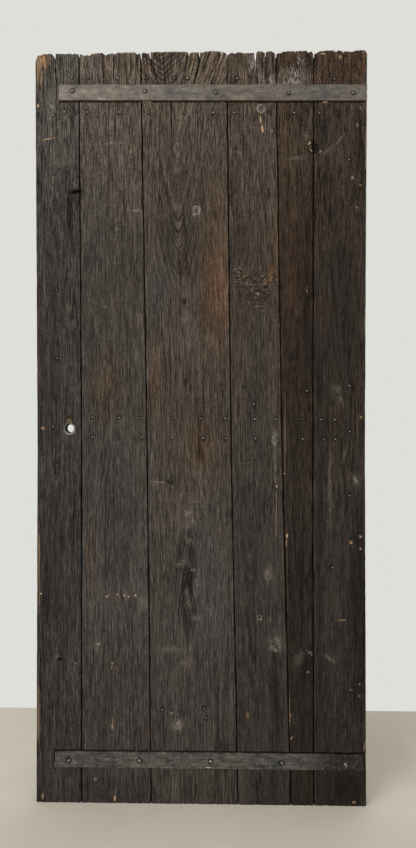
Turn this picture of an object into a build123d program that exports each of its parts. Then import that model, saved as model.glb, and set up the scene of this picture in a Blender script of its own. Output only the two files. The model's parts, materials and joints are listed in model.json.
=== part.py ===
from build123d import *
from math import radians, tan
import os

# Old ledged plank door leaf: six tongued and grooved boards, three ledges nailed
# across the back, and two flat iron straps let into the front.
# Front faces -Y, +Z is up, +X is the hinge side. The origin is on the floor under
# the middle of the leaf, halfway through its whole depth. Sizes are millimetres.

# The leaf
LEAF_H = 2088.0           # foot to the highest point of the worn top
LEAF_W = 918.0            # at the top and at the foot
HOLLOW = 4.5              # how far each long edge bends in at the waist
WAIST_Z = 1000.0          # height at which the boards' middle widths are taken
BOARD_T = 38.0
ARRIS = 1.5               # worn front edges along the joints
BOARDS = [
    # name, and what it takes of the leaf's width at the top, at the waist, at the foot
    ("latch_board", 122.0, 124.0, 127.0),
    ("board_2", 172.0, 182.5, 195.0),
    ("board_3", 238.0, 233.0, 242.0),
    ("board_4", 135.0, 141.0, 146.0),
    ("board_5", 104.5, 85.0, 63.0),
    ("hinge_board", 146.5, 143.5, 145.0),
]

# Tongue and groove between neighbouring boards
JOINT_GAP = 3.0           # open joint between two boards' faces, after shrinkage
TONGUE_L = 8.0            # how far a tongue stands out of its board
TONGUE_T = 12.0
TONGUE_ROOT = 1.0         # how deep a tongue is rooted in its own board
TONGUE_PLAY = 0.3         # clearance on each face of a tongue
TONGUE_TIP_PLAY = 0.8     # clearance in front of a tongue
TONGUE_WORN = 16.0        # how far the tongues end below the top

# Ledges on the back
LEDGE_T = 30.0
LEDGE_BEVEL = 8.0         # bevel round a ledge's back face
LEDGE_END = 30.0          # from a ledge's end to the leaf's edge
LATCH_Z = 1045.0          # the latch and the middle ledge are in line
TOP_LEDGE_Z = LEAF_H - 123.0
TOP_LEDGE_W, TOP_LEDGE_TILT = 150.0, 0.8
MIDDLE_LEDGE_Z = LATCH_Z
MIDDLE_LEDGE_W, MIDDLE_LEDGE_TILT = 110.0, 0.5
BOTTOM_LEDGE_Z = 164.0
BOTTOM_LEDGE_W, BOTTOM_LEDGE_TILT = 235.0, 0.0
MIDDLE_LEDGE_SHORT = 135.0  # the middle ledge stops this far in, clear of the latch

# Iron straps on the front
STRAP_T = 6.0
STRAP_W = 44.5
STRAP_PROUD = 1.5         # how far a strap stands out of the boards
TOP_STRAP_LEFT = 66.0     # from the leaf's latch edge to the top strap's end
TOP_STRAP_Z, TOP_STRAP_TILT = LEAF_H - 115.0, 0.6
BOTTOM_STRAP_Z, BOTTOM_STRAP_TILT = 121.5, 0.0
BOTTOM_STRAP_LEFT = 50.0  # the same for the bottom strap
BOTTOM_STRAP_SHORT = 6.0  # the corroded right end stops short of the hinge edge
BOTTOM_STRAP_SKEW = 3.0   # how far its latch end leans
HOUSING_GAP = 6.0         # open strip of the housing, towards the leaf's middle
HOUSING_PLAY = 0.3        # clearance on the other three sides of a strap
STRAP_ARRIS = 0.8         # worn front edges of a strap
EAR_R = 4.5               # broken-out hole in the top strap's hinge end

# Nails: square shanks and low eight-sided hammered heads
SHANK_PLAY = 0.1          # clearance on each side of a shank
POINT_L, POINT_W = 5.0, 1.0
STRAP_SHANK, STRAP_HEAD_R, STRAP_HEAD_H, STRAP_NAIL_L = 4.0, 4.8, 2.5, 58.0
LEDGE_SHANK, LEDGE_HEAD_R, LEDGE_HEAD_H, LEDGE_NAIL_L = 3.0, 3.0, 1.2, 60.0
SHORT_NAIL_L = 30.0       # old nails that stop inside a board
HEAD_SIDES, HEAD_SLOPE = 8, 38.0            # the slope is in degrees
TIP_PLAY = 2.0            # depth left below a nail's point
ROW_UP_TOP, ROW_DOWN_TOP = 47.0, 47.0       # nail rows from a ledge's centreline
ROW_UP_MIDDLE, ROW_DOWN_MIDDLE = 27.5, 26.5

# Latch hole and hinge screw holes
LATCH_IN = 88.0           # from the latch edge to the hole's centre
LATCH_R = 11.75
LATCH_RIM_R = 18.5        # worn rim of the hole
LATCH_RIM_D = 4.0
SCREW_R = 2.5
SCREW_D = 22.0
HINGE_Z = [LEAF_H - 353.0, 730.0, 322.5]
SCREW_NEAR = 16.0         # from the hinge edge to the pair of screw holes
SCREW_FAR = 40.5          # from the hinge edge to the single screw hole
SCREW_PAIR = 33.0         # between the two holes of the pair
OLD_SHANK, OLD_HOLE_D = 4.4, 12.0           # nails that were pulled and left square holes

# Gouge beside a knot in the latch board: height and width on the face, and depth
GOUGE_Z = LEAF_H - 390.0
GOUGE_H, GOUGE_W, GOUGE_D = 12.0, 26.0, 11.0

# Worn tops, one list for each board: share of the width from the left, and how far
# below the highest point the end grain stands there.
TOPS = [
    [(0, 26), (0.03, 14), (0.07, 7.5), (0.17, 3.5), (0.24, 2), (0.26, 4), (0.30, 2),
     (0.36, 2), (0.41, 6), (0.45, 12), (0.475, 3), (0.84, 2.5), (0.865, 5), (0.89, 3), (1, 4.5)],
    [(0, 4), (0.085, 10), (0.125, 6.5), (0.155, 10), (0.21, 3), (0.37, 1), (0.44, 10), (0.475, 4),
     (0.55, 3), (0.595, 6.5), (0.615, 1), (0.91, 0.5), (0.96, 8), (1, 4)],
    [(0, 4), (0.03, 1.5), (0.077, 6), (0.105, 1.5), (0.2, 0), (0.5, 0.5), (0.55, 2.5), (0.567, 6.5),
     (0.595, 3), (0.69, 1.5), (0.71, 4.5), (0.755, 0), (0.93, 0), (0.965, 2.5), (1, 9)],
    [(0, 13), (0.1, 5.5), (0.155, 9), (0.2, 4.5), (0.425, 7.5), (0.56, 7), (0.62, 3.5), (0.66, 2),
     (0.77, 4.5), (0.787, 7), (0.85, 2.5), (0.945, 3.5), (1, 11)],
    [(0, 11), (0.03, 8.5), (0.125, 8.5), (0.175, 4.5), (0.36, 3.5), (0.565, 2), (0.575, 6),
     (0.615, 2), (0.81, 3), (0.865, 8.5), (0.955, 4.5), (1, 13)],
    [(0, 13), (0.055, 8), (0.1, 4.5), (0.2, 2.5), (0.39, 2), (0.41, 7), (0.45, 2.5), (0.53, 6),
     (0.62, 5.5), (0.71, 7.5), (0.765, 4), (0.88, 2), (0.975, 4), (1, 13)],
]

# Drying splits that run in from the top: board, share of the width at the mouth and
# at the tip, width of the mouth, and length.
SPLITS = [
    (0, 0.445, 0.495, 7.0, 248.0),
    (1, 0.567, 0.535, 3.0, 128.0),
    (2, 0.077, 0.250, 4.0, 112.0),
    (2, 0.567, 0.450, 4.0, 110.0),
    (2, 0.710, 0.620, 4.5, 110.0),
    (2, 0.940, 0.760, 4.0, 112.0),
    (3, 0.590, 0.660, 10.0, 104.0),
    (3, 0.787, 0.835, 4.0, 102.0),
    (5, 0.410, 0.412, 3.0, 30.0),
    (5, 0.572, 0.575, 2.5, 76.0),
]
FOOT_SPLITS = [(2, 0.533, 0.567, 2.0, 513.0)]   # the same, running up from the foot

# Cracks inside a board: board, share of the width and height of both ends, and width.
CRACKS = [(2, 0.342, LEAF_H - 143.0, 0.400, LEAF_H - 314.0, 2.0)]

# Nails and old holes on a board: board, share of its width and, where they are in no
# row, height. Strap nails have the height above the strap's centreline instead.
TOP_STRAP_NAILS = [(0, 0.85, 4.0), (2, 0.04, 3.0), (2, 0.87, -1.0), (4, 0.33, -2.5), (5, 0.74, -2.0)]
BOTTOM_STRAP_NAILS = [(0, 0.72, -1.5), (1, 0.84, 0.0), (2, 0.69, 0.0), (3, 0.84, -2.5), (5, 0.60, -4.0)]
TOP_UPPER_ROW = [(0, 0.84), (1, 0.15), (1, 0.62), (2, 0.06), (2, 0.38), (2, 0.54), (3, 0.21),
                 (4, 0.30), (5, 0.10), (5, 0.39)]
TOP_LOWER_ROW = [(0, 0.66), (1, 0.13), (1, 0.65), (2, 0.08), (2, 0.50), (2, 0.83), (3, 0.14),
                 (3, 0.84), (4, 0.47), (5, 0.10), (5, 0.44)]
MIDDLE_UPPER_ROW = [(1, 0.17), (1, 0.58), (1, 0.91), (2, 0.30), (2, 0.65), (2, 0.94), (3, 0.47),
                    (3, 0.88), (4, 0.61), (5, 0.16), (5, 0.42)]
MIDDLE_LOWER_ROW = [(1, 0.17), (1, 0.57), (1, 0.92), (2, 0.30), (2, 0.67), (2, 0.94), (3, 0.48),
                    (3, 0.88), (4, 0.66), (5, 0.20), (5, 0.43)]
BOTTOM_LEDGE_NAILS = [(1, 0.22, 64.0), (2, 0.14, 263.0), (2, 0.23, 272.0), (2, 0.62, 267.0),
                      (2, 0.65, 241.0)]
LATCH_SIDE_NAILS = [(0, 0.42, LEAF_H - 173.0), (0, 0.42, LEAF_H - 335.0), (0, 0.45, LEAF_H - 503.0),
                    (0, 0.46, LEAF_H - 658.0), (0, 0.46, LEAF_H - 848.0), (0, 0.36, LATCH_Z + 4.0)]
FIELD_NAILS = [(3, 0.46, LATCH_Z + 68.0), (4, 0.80, LATCH_Z + 104.0)]
HINGE_SIDE_NAILS = [(5, 0.67, LEAF_H - 302.0), (5, 0.69, LATCH_Z + 118.0), (5, 0.70, LATCH_Z - 8.0),
                    (5, 0.70, 859.0), (5, 0.37, 661.0)]
OLD_HOLES = [(0, 0.52, 402.0), (0, 0.70, LATCH_Z + 32.0), (0, 0.14, LATCH_Z + 1.0), (1, 0.38, 576.0),
             (1, 0.54, 583.0), (1, 0.64, 580.0), (1, 0.71, 576.0), (1, 0.81, 580.0),
             (5, 0.91, LEAF_H - 163.0)]

# Depth of the whole leaf, which is centred on Y = 0
FRONT_PROUD = STRAP_PROUD + STRAP_HEAD_H
FRONT = FRONT_PROUD - (FRONT_PROUD + BOARD_T + LEDGE_T) / 2
BACK = FRONT + BOARD_T
HOUSING_FLOOR = FRONT + STRAP_T - STRAP_PROUD
OVERSHOOT = 10.0          # how far a cutting shape reaches past what it cuts


def edge_points(joint, shift=0.0):
    """Points of one joint line, foot to top: joint 0 is the latch edge, the last the hinge edge."""
    points = []
    for height, column, width in ((0.0, 3, LEAF_W), (WAIST_Z, 2, LEAF_W - 2 * HOLLOW), (LEAF_H, 1, LEAF_W)):
        shares = [board[column] for board in BOARDS]
        points.append(((sum(shares[:joint]) / sum(shares) - 0.5) * width + shift, height))
    return points


def edge_x(joint, z):
    """Where a joint line is at height z."""
    foot, waist, top = edge_points(joint)
    low, high = (foot, waist) if z < waist[1] else (waist, top)
    return low[0] + (high[0] - low[0]) * (z - low[1]) / (high[1] - low[1])


def latch_edge_x(z):
    """Where the leaf's latch edge is at height z."""
    return edge_x(0, z)


def hinge_edge_x(z):
    """Where the leaf's hinge edge is at height z."""
    return edge_x(len(BOARDS), z)


def across(board, share, z):
    """The X of a point at a share of a board's width, at height z."""
    left, right = edge_x(board, z), edge_x(board + 1, z)
    return left + share * (right - left)


def prism(points, y_front, depth):
    """A closed outline in X and Z, given thickness towards the back."""
    face = make_face(Polyline(*points, close=True))
    return Pos(0, y_front + depth, 0) * extrude(Plane.XZ * face, depth)


def flat_bar(length, thickness, width):
    """A bar along X, its front face on Y = 0 and its left end on X = 0."""
    return Pos(length / 2, thickness / 2, 0) * Box(length, thickness, width)


def line_z(z, tilt, x):
    """Height at x of a centreline that falls towards the hinge side by tilt degrees."""
    return z - x * tan(radians(tilt))


def place_on_line(shape, x, y, z, tilt):
    """Sets a bar's left end on a tilted centreline."""
    return Pos(x, y, line_z(z, tilt, x)) * Rot(0, tilt, 0) * shape


def row(places, z, tilt, rise):
    """X and Z of the nails of one ledge row."""
    nails = []
    for board, share in places:
        x = across(board, share, z + rise)
        nails.append((x, line_z(z, tilt, x) + rise))
    return nails


def spots(places):
    """X and Z of nails or holes that are given with their own height."""
    return [(across(board, share, z), z) for board, share, z in places]


def strap_spots(places, z, tilt):
    """X and Z of a strap's nails, from their rise above its centreline."""
    nails = []
    for board, share, rise in places:
        x = across(board, share, z)
        nails.append((x, line_z(z, tilt, x) + rise))
    return nails


def nail(shank, head_r, head_h, length):
    """One nail, driven towards +Y, with the underside of its head on Y = 0."""
    straight = length - POINT_L
    body = Pos(0, straight / 2, 0) * Box(shank, straight, shank)
    face = Plane(origin=(0, straight, 0), x_dir=(1, 0, 0), z_dir=(0, 1, 0))
    tip = Plane(origin=(0, length, 0), x_dir=(1, 0, 0), z_dir=(0, 1, 0))
    point = loft([face * Rectangle(shank, shank), tip * Rectangle(POINT_W, POINT_W)])
    head_face = Plane(origin=(0, 0, 0), x_dir=(1, 0, 0), z_dir=(0, -1, 0))
    head = extrude(head_face * RegularPolygon(head_r, HEAD_SIDES), head_h, taper=HEAD_SLOPE)
    return body + point + head


def nails_at(places, y, pattern):
    """A group of like nails as separate solids."""
    return Compound(children=[Pos(x, y, z) * pattern for x, z in places])


def nail_holes(places, y, shank, depth):
    """Square holes for a group of nails."""
    side = shank + 2 * SHANK_PLAY
    return [Pos(x, y + depth / 2, z) * Box(side, depth, side) for x, z in places]


def blind_holes(places, radius, depth):
    """Round holes in the boards' front face."""
    return [Pos(x, FRONT + depth / 2, z) * Rot(90, 0, 0) * Cylinder(radius, depth) for x, z in places]


def split(board, share_mouth, share_tip, mouth, length):
    """A wedge that opens at the top of a board and ends in a point."""
    x_mouth = across(board, share_mouth, LEAF_H)
    x_tip = across(board, share_tip, LEAF_H - length)
    points = [(x_mouth - mouth / 2, LEAF_H), (x_mouth + mouth / 2, LEAF_H), (x_tip, LEAF_H - length)]
    return prism(points, FRONT - OVERSHOOT, BOARD_T + 2 * OVERSHOOT)


def foot_split(board, share_mouth, share_tip, mouth, length):
    """A wedge that opens at the foot of a board."""
    x_mouth = across(board, share_mouth, 0.0)
    x_tip = across(board, share_tip, length)
    points = [(x_mouth - mouth / 2, 0.0), (x_tip, length), (x_mouth + mouth / 2, 0.0)]
    return prism(points, FRONT - OVERSHOOT, BOARD_T + 2 * OVERSHOOT)


def inner_crack(board, share_high, z_high, share_low, z_low, width):
    """A drying crack that closes at both ends, widest in the middle."""
    middle_z = (z_high + z_low) / 2
    middle_x = across(board, (share_high + share_low) / 2, middle_z)
    points = [(across(board, share_high, z_high), z_high), (middle_x + width / 2, middle_z),
              (across(board, share_low, z_low), z_low), (middle_x - width / 2, middle_z)]
    return prism(points, FRONT - OVERSHOOT, BOARD_T + 2 * OVERSHOOT)


def latch_hole():
    """Through hole for the latch spindle, with its worn rim."""
    x = latch_edge_x(LATCH_Z) + LATCH_IN
    bore = Cylinder(LATCH_R, BOARD_T + 2 * OVERSHOOT)
    rim = Pos(0, 0, (BOARD_T - LATCH_RIM_D) / 2) * Cone(LATCH_R, LATCH_RIM_R, LATCH_RIM_D)
    return Pos(x, (FRONT + BACK) / 2, LATCH_Z) * Rot(90, 0, 0) * (bore + rim)


def gouge():
    """Wedge-shaped hollow broken out beside a knot at the latch board's joint."""
    x = edge_x(1, GOUGE_Z)
    points = [(x, GOUGE_Z - GOUGE_H / 2), (x, GOUGE_Z), (x - GOUGE_W, GOUGE_Z + GOUGE_H / 2)]
    return prism(points, FRONT - OVERSHOOT, OVERSHOOT + GOUGE_D)


def hinge_screws(z):
    """The three screw holes that one removed hinge left."""
    edge = hinge_edge_x(z)
    pair = [(edge - SCREW_NEAR, z + SCREW_PAIR / 2), (edge - SCREW_NEAR, z - SCREW_PAIR / 2)]
    return pair + [(edge - SCREW_FAR, z)]


def top_strap_bar(grow_end=0.0, grow_up=0.0, grow_down=0.0, right=0.0, thickness=STRAP_T):
    """The top strap's bar, or with the grow values its housing."""
    left = latch_edge_x(TOP_STRAP_Z) + TOP_STRAP_LEFT - grow_end
    length = hinge_edge_x(TOP_STRAP_Z) - left + right
    bar = Pos(0, 0, (grow_up - grow_down) / 2) * flat_bar(length, thickness, STRAP_W + grow_up + grow_down)
    return place_on_line(bar, left, HOUSING_FLOOR - thickness, TOP_STRAP_Z, TOP_STRAP_TILT)


def bottom_strap_bar(grow_end=0.0, grow_up=0.0, grow_down=0.0, right=0.0, thickness=STRAP_T):
    """The bottom strap's bar with its leaning end, or its housing."""
    left = latch_edge_x(BOTTOM_STRAP_Z) + BOTTOM_STRAP_LEFT - grow_end
    length = hinge_edge_x(BOTTOM_STRAP_Z) - left + right - BOTTOM_STRAP_SHORT
    low, high = -STRAP_W / 2 - grow_down, STRAP_W / 2 + grow_up
    points = [(0.0, low), (length, low), (length, high), (BOTTOM_STRAP_SKEW, high)]
    return place_on_line(prism(points, 0.0, thickness), left, HOUSING_FLOOR - thickness,
                         BOTTOM_STRAP_Z, BOTTOM_STRAP_TILT)


def housings():
    """Shallow recesses for both straps, open at the hinge edge."""
    deep = STRAP_T + OVERSHOOT
    top = top_strap_bar(HOUSING_PLAY, HOUSING_PLAY, HOUSING_GAP, OVERSHOOT, deep)
    bottom = bottom_strap_bar(HOUSING_PLAY, HOUSING_GAP, HOUSING_PLAY, OVERSHOOT + BOTTOM_STRAP_SHORT, deep)
    return [top, bottom]


def board_blank(index):
    """A board's outline with its worn top, through the whole thickness."""
    left = edge_points(index, JOINT_GAP / 2 if index > 0 else 0.0)
    right = edge_points(index + 1, -JOINT_GAP / 2 if index + 1 < len(BOARDS) else 0.0)
    span = right[2][0] - left[2][0]
    top = [(left[2][0] + share * span, LEAF_H - drop) for share, drop in TOPS[index]]
    blank = prism(left[:2] + top + right[1::-1], FRONT, BOARD_T)
    long_edges = blank.faces().sort_by(Axis.Y)[0].edges().sort_by(SortBy.LENGTH)[-4:]
    return chamfer(long_edges, ARRIS)


def tongue(index):
    """The tongue on a board's right edge."""
    inner = edge_points(index + 1, -JOINT_GAP / 2 - TONGUE_ROOT)
    outer = edge_points(index + 1, -JOINT_GAP / 2 + TONGUE_L)
    points = inner[:2] + [(inner[2][0], LEAF_H - TONGUE_WORN), (outer[2][0], LEAF_H - TONGUE_WORN)]
    return prism(points + outer[1::-1], FRONT + (BOARD_T - TONGUE_T) / 2, TONGUE_T)


def groove(index):
    """The groove in a board's left edge, which takes its neighbour's tongue."""
    depth = TONGUE_L - JOINT_GAP + TONGUE_TIP_PLAY
    outer = edge_points(index, JOINT_GAP / 2 - OVERSHOOT)
    inner = edge_points(index, JOINT_GAP / 2 + depth)
    wide = TONGUE_T + 2 * TONGUE_PLAY
    return prism(outer + inner[::-1], FRONT + (BOARD_T - wide) / 2, wide)


def make_board(index, cutters):
    """One board with its joints, housings, holes and splits."""
    board = board_blank(index)
    if index + 1 < len(BOARDS):
        board = board + tongue(index)
    if index > 0:
        board = board - groove(index)
    box = board.bounding_box()
    reach = [c for c in cutters if touches(c.bounding_box(), box)]
    return board - reach if reach else board


def touches(a, b):
    """Whether two bounding boxes meet in X and Z."""
    return (a.min.X < b.max.X and b.min.X < a.max.X
            and a.min.Z < b.max.Z and b.min.Z < a.max.Z)


def make_ledge(z, width, tilt, holes, short=0.0):
    """A ledge across the back, bevelled round its back face, with blind nail holes."""
    left = latch_edge_x(z) + LEDGE_END + short
    length = hinge_edge_x(z) - LEDGE_END - left
    bar = flat_bar(length, LEDGE_T, width)
    bar = chamfer(bar.faces().sort_by(Axis.Y)[-1].edges(), LEDGE_BEVEL)
    return place_on_line(bar, left, BACK, z, tilt) - holes


def ease(bar):
    """Takes the sharp front edges off a strap."""
    return chamfer(bar.faces().sort_by(Axis.Y)[0].edges(), STRAP_ARRIS)


def strap_holes(nails):
    """Square holes through a strap for its nails."""
    return nail_holes(nails, HOUSING_FLOOR - STRAP_T - OVERSHOOT, STRAP_SHANK, STRAP_T + 2 * OVERSHOOT)


def make_top_strap(nails):
    """The top strap, with a broken-out hole in its hinge end."""
    bar = ease(top_strap_bar())
    x = hinge_edge_x(TOP_STRAP_Z)
    z = line_z(TOP_STRAP_Z, TOP_STRAP_TILT, x)
    ear = Pos(x, HOUSING_FLOOR, z) * Rot(90, 0, 0) * Cylinder(EAR_R, 2 * STRAP_T + OVERSHOOT)
    return bar - ear - strap_holes(nails)


def make_bottom_strap(nails):
    """The bottom strap."""
    return ease(bottom_strap_bar()) - strap_holes(nails)


# Where the nails are
top_strap_at = strap_spots(TOP_STRAP_NAILS, TOP_STRAP_Z, TOP_STRAP_TILT)
bottom_strap_at = strap_spots(BOTTOM_STRAP_NAILS, BOTTOM_STRAP_Z, BOTTOM_STRAP_TILT)
top_upper_at = row(TOP_UPPER_ROW, TOP_LEDGE_Z, TOP_LEDGE_TILT, ROW_UP_TOP)
top_lower_at = row(TOP_LOWER_ROW, TOP_LEDGE_Z, TOP_LEDGE_TILT, -ROW_DOWN_TOP)
middle_upper_at = row(MIDDLE_UPPER_ROW, MIDDLE_LEDGE_Z, MIDDLE_LEDGE_TILT, ROW_UP_MIDDLE)
middle_lower_at = row(MIDDLE_LOWER_ROW, MIDDLE_LEDGE_Z, MIDDLE_LEDGE_TILT, -ROW_DOWN_MIDDLE)
bottom_ledge_at = spots(BOTTOM_LEDGE_NAILS)
latch_side_at = spots(LATCH_SIDE_NAILS)
field_at = spots(FIELD_NAILS)
hinge_side_at = spots(HINGE_SIDE_NAILS)
strap_at = top_strap_at + bottom_strap_at
ledge_at = top_upper_at + top_lower_at + middle_upper_at + middle_lower_at + bottom_ledge_at
short_at = latch_side_at + field_at + hinge_side_at
screws_at = [spot for z in HINGE_Z for spot in hinge_screws(z)]

# What is cut out of the boards
cutters = housings() + [latch_hole(), gouge()]
cutters += [split(*values) for values in SPLITS]
cutters += [foot_split(*values) for values in FOOT_SPLITS]
cutters += [inner_crack(*values) for values in CRACKS]
cutters += nail_holes(strap_at, FRONT - OVERSHOOT, STRAP_SHANK, BOARD_T + 2 * OVERSHOOT)
cutters += nail_holes(ledge_at, FRONT - OVERSHOOT, LEDGE_SHANK, BOARD_T + 2 * OVERSHOOT)
cutters += nail_holes(short_at, FRONT, LEDGE_SHANK, SHORT_NAIL_L + TIP_PLAY)
cutters += blind_holes(screws_at, SCREW_R, SCREW_D)
cutters += nail_holes(spots(OLD_HOLES), FRONT, OLD_SHANK, OLD_HOLE_D)

# What is cut out of the ledges
strap_reach = STRAP_NAIL_L - STRAP_PROUD - BOARD_T + TIP_PLAY
ledge_reach = LEDGE_NAIL_L - BOARD_T + TIP_PLAY
top_ledge_holes = nail_holes(top_strap_at, BACK, STRAP_SHANK, strap_reach)
top_ledge_holes += nail_holes(top_upper_at + top_lower_at, BACK, LEDGE_SHANK, ledge_reach)
middle_ledge_holes = nail_holes(middle_upper_at + middle_lower_at, BACK, LEDGE_SHANK, ledge_reach)
bottom_ledge_holes = nail_holes(bottom_strap_at, BACK, STRAP_SHANK, strap_reach)
bottom_ledge_holes += nail_holes(bottom_ledge_at, BACK, LEDGE_SHANK, ledge_reach)

# The pieces
strap_nail = nail(STRAP_SHANK, STRAP_HEAD_R, STRAP_HEAD_H, STRAP_NAIL_L)
ledge_nail = nail(LEDGE_SHANK, LEDGE_HEAD_R, LEDGE_HEAD_H, LEDGE_NAIL_L)
short_nail = nail(LEDGE_SHANK, LEDGE_HEAD_R, LEDGE_HEAD_H, SHORT_NAIL_L)
STRAP_FACE = FRONT - STRAP_PROUD

parts = {BOARDS[i][0]: make_board(i, cutters) for i in range(len(BOARDS))}
parts["top_ledge"] = make_ledge(TOP_LEDGE_Z, TOP_LEDGE_W, TOP_LEDGE_TILT, top_ledge_holes)
parts["middle_ledge"] = make_ledge(MIDDLE_LEDGE_Z, MIDDLE_LEDGE_W, MIDDLE_LEDGE_TILT,
                                   middle_ledge_holes, MIDDLE_LEDGE_SHORT - LEDGE_END)
parts["bottom_ledge"] = make_ledge(BOTTOM_LEDGE_Z, BOTTOM_LEDGE_W, BOTTOM_LEDGE_TILT, bottom_ledge_holes)
parts["top_strap"] = make_top_strap(top_strap_at)
parts["bottom_strap"] = make_bottom_strap(bottom_strap_at)
parts["top_strap_nails"] = nails_at(top_strap_at, STRAP_FACE, strap_nail)
parts["bottom_strap_nails"] = nails_at(bottom_strap_at, STRAP_FACE, strap_nail)
parts["top_ledge_nails_upper"] = nails_at(top_upper_at, FRONT, ledge_nail)
parts["top_ledge_nails_lower"] = nails_at(top_lower_at, FRONT, ledge_nail)
parts["middle_ledge_nails_upper"] = nails_at(middle_upper_at, FRONT, ledge_nail)
parts["middle_ledge_nails_lower"] = nails_at(middle_lower_at, FRONT, ledge_nail)
parts["bottom_ledge_nails"] = nails_at(bottom_ledge_at, FRONT, ledge_nail)
parts["latch_side_nails"] = nails_at(latch_side_at, FRONT, short_nail)
parts["field_nails"] = nails_at(field_at, FRONT, short_nail)
parts["hinge_side_nails"] = nails_at(hinge_side_at, FRONT, short_nail)

os.makedirs("parts", exist_ok=True)
for name, shape in parts.items():
    export_step(shape, f"parts/{name}.step")
print(len(parts), "nodes")
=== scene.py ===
# %% [markdown]
# # An old plank door leaf
# This lesson dresses a imported CAD model of an old door leaf: six weathered boards with
# tongues and grooves, three ledges across the back, two iron straps let into the front,
# and the nails that hold them. The CAD model is the frame. It says where every piece is,
# and each new piece takes the place of one of its nodes.

# %% Load the frame and keep its nodes
import json
from math import cos, pi, radians, sin, tan

import bpy
import numpy as np
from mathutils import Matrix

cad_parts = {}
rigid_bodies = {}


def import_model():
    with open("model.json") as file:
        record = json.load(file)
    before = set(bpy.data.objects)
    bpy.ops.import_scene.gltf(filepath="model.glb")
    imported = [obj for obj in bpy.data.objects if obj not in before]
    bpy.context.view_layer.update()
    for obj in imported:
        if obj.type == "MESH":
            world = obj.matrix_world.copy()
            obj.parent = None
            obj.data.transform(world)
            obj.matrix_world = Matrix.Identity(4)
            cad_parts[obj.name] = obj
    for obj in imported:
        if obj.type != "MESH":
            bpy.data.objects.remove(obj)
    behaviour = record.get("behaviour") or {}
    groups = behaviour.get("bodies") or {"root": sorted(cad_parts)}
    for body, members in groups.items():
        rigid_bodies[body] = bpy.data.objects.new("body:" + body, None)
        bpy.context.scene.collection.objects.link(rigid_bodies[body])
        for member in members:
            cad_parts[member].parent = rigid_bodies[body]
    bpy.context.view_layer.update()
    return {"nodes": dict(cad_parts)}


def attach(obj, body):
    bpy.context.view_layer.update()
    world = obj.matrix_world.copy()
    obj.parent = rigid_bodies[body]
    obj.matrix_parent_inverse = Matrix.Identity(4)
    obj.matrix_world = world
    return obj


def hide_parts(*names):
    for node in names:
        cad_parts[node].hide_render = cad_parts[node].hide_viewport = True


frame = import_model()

# %% [markdown]
# ## Sizes
# Blender works in metres, and joinery is drawn in millimetres, so sizes are written as
# millimetres times mm. They are the sizes of the CAD model: the leaf's front faces -Y,
# +X is the hinge side, and the origin is on the floor under the middle of the leaf.

# %% Sizes of the leaf
mm = 0.001
LEAF_H, LEAF_W, HOLLOW, WAIST_Z = 2088 * mm, 918 * mm, 4.5 * mm, 1000 * mm
FRONT, BOARD_T = -32 * mm, 38 * mm
BACK = FRONT + BOARD_T
BOARDS = [
    # name, and its width at the top, at the waist and at the foot
    ("latch_board", 122.0, 124.0, 127.0),
    ("board_2", 172.0, 182.5, 195.0),
    ("board_3", 238.0, 233.0, 242.0),
    ("board_4", 135.0, 141.0, 146.0),
    ("board_5", 104.5, 85.0, 63.0),
    ("hinge_board", 146.5, 143.5, 145.0),
]
JOINT_GAP, TONGUE_L, TONGUE_T, TONGUE_PLAY = 3 * mm, 8 * mm, 12 * mm, 0.3 * mm
TONGUE_WORN, SHUT_TONGUE_WORN = 16 * mm, 14 * mm     # how far below the top the tongues end
print(len(BOARDS), "boards,", sum(board[1] for board in BOARDS), "mm wide at the top")

# %% [markdown]
# ## Small helpers
# An operator works on everything that is selected, and loading the frame leaves its nodes
# selected. So each step starts by deselecting, and picks what it needs in code, by place.

# %% Picking objects, edges and faces
def pick(*objects):
    """Selects only these objects and makes the first one active."""
    bpy.ops.object.select_all(action="DESELECT")
    for thing in objects:
        thing.select_set(True)
    bpy.context.view_layer.objects.active = objects[0]


def settle(thing):
    """Puts an object's place, turn and scale into its mesh."""
    pick(thing)
    bpy.ops.object.transform_apply(location=True, rotation=True, scale=True)
    return thing


def read(collection, what, width):
    """One attribute of all vertices, edges or faces as an array."""
    values = np.empty(len(collection) * width, dtype=np.float64)
    collection.foreach_get(what, values)
    return values.reshape(-1, width)


def move_vertices(mesh, places):
    """Gives every vertex a new place."""
    mesh.vertices.foreach_set("co", places.ravel())
    mesh.update()


def choose(mesh, edges=None, faces=None):
    """Selects edges or faces by a true and false list, ready for edit mode."""
    for collection, chosen in ((mesh.vertices, None), (mesh.edges, edges), (mesh.polygons, faces)):
        nothing = np.zeros(len(collection), dtype=bool)
        collection.foreach_set("select", nothing if chosen is None else chosen)
    bpy.context.tool_settings.mesh_select_mode = (False, edges is not None, faces is not None)


def in_edit_mode(operator, **settings):
    """Runs one edit-mode operator on what is chosen."""
    bpy.ops.object.mode_set(mode="EDIT")
    operator(**settings)
    bpy.ops.object.mode_set(mode="OBJECT")


def edges_along(mesh, axis):
    """Marks the edges that run along one axis."""
    ends = np.empty(len(mesh.edges) * 2, dtype=np.int64)
    mesh.edges.foreach_get("vertices", ends)
    places = read(mesh.vertices, "co", 3)
    run = np.abs(np.diff(places[ends.reshape(-1, 2)], axis=1)[:, 0])
    return run[:, axis] > 0.9 * np.linalg.norm(run, axis=1)


def cut_across(block, axis, cuts):
    """Cuts a block into slices along one axis."""
    pick(block)
    choose(block.data, edges=edges_along(block.data, axis))
    in_edit_mode(bpy.ops.mesh.subdivide, number_cuts=cuts)


def box_at(name, low, high):
    """A closed box between two corners."""
    bpy.ops.object.select_all(action="DESELECT")
    centre = [(a + b) / 2 for a, b in zip(low, high)]
    size = [b - a for a, b in zip(low, high)]
    bpy.ops.mesh.primitive_cube_add(size=1, location=centre, scale=size)
    block = bpy.context.active_object
    block.name = block.data.name = name
    return settle(block)


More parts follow.
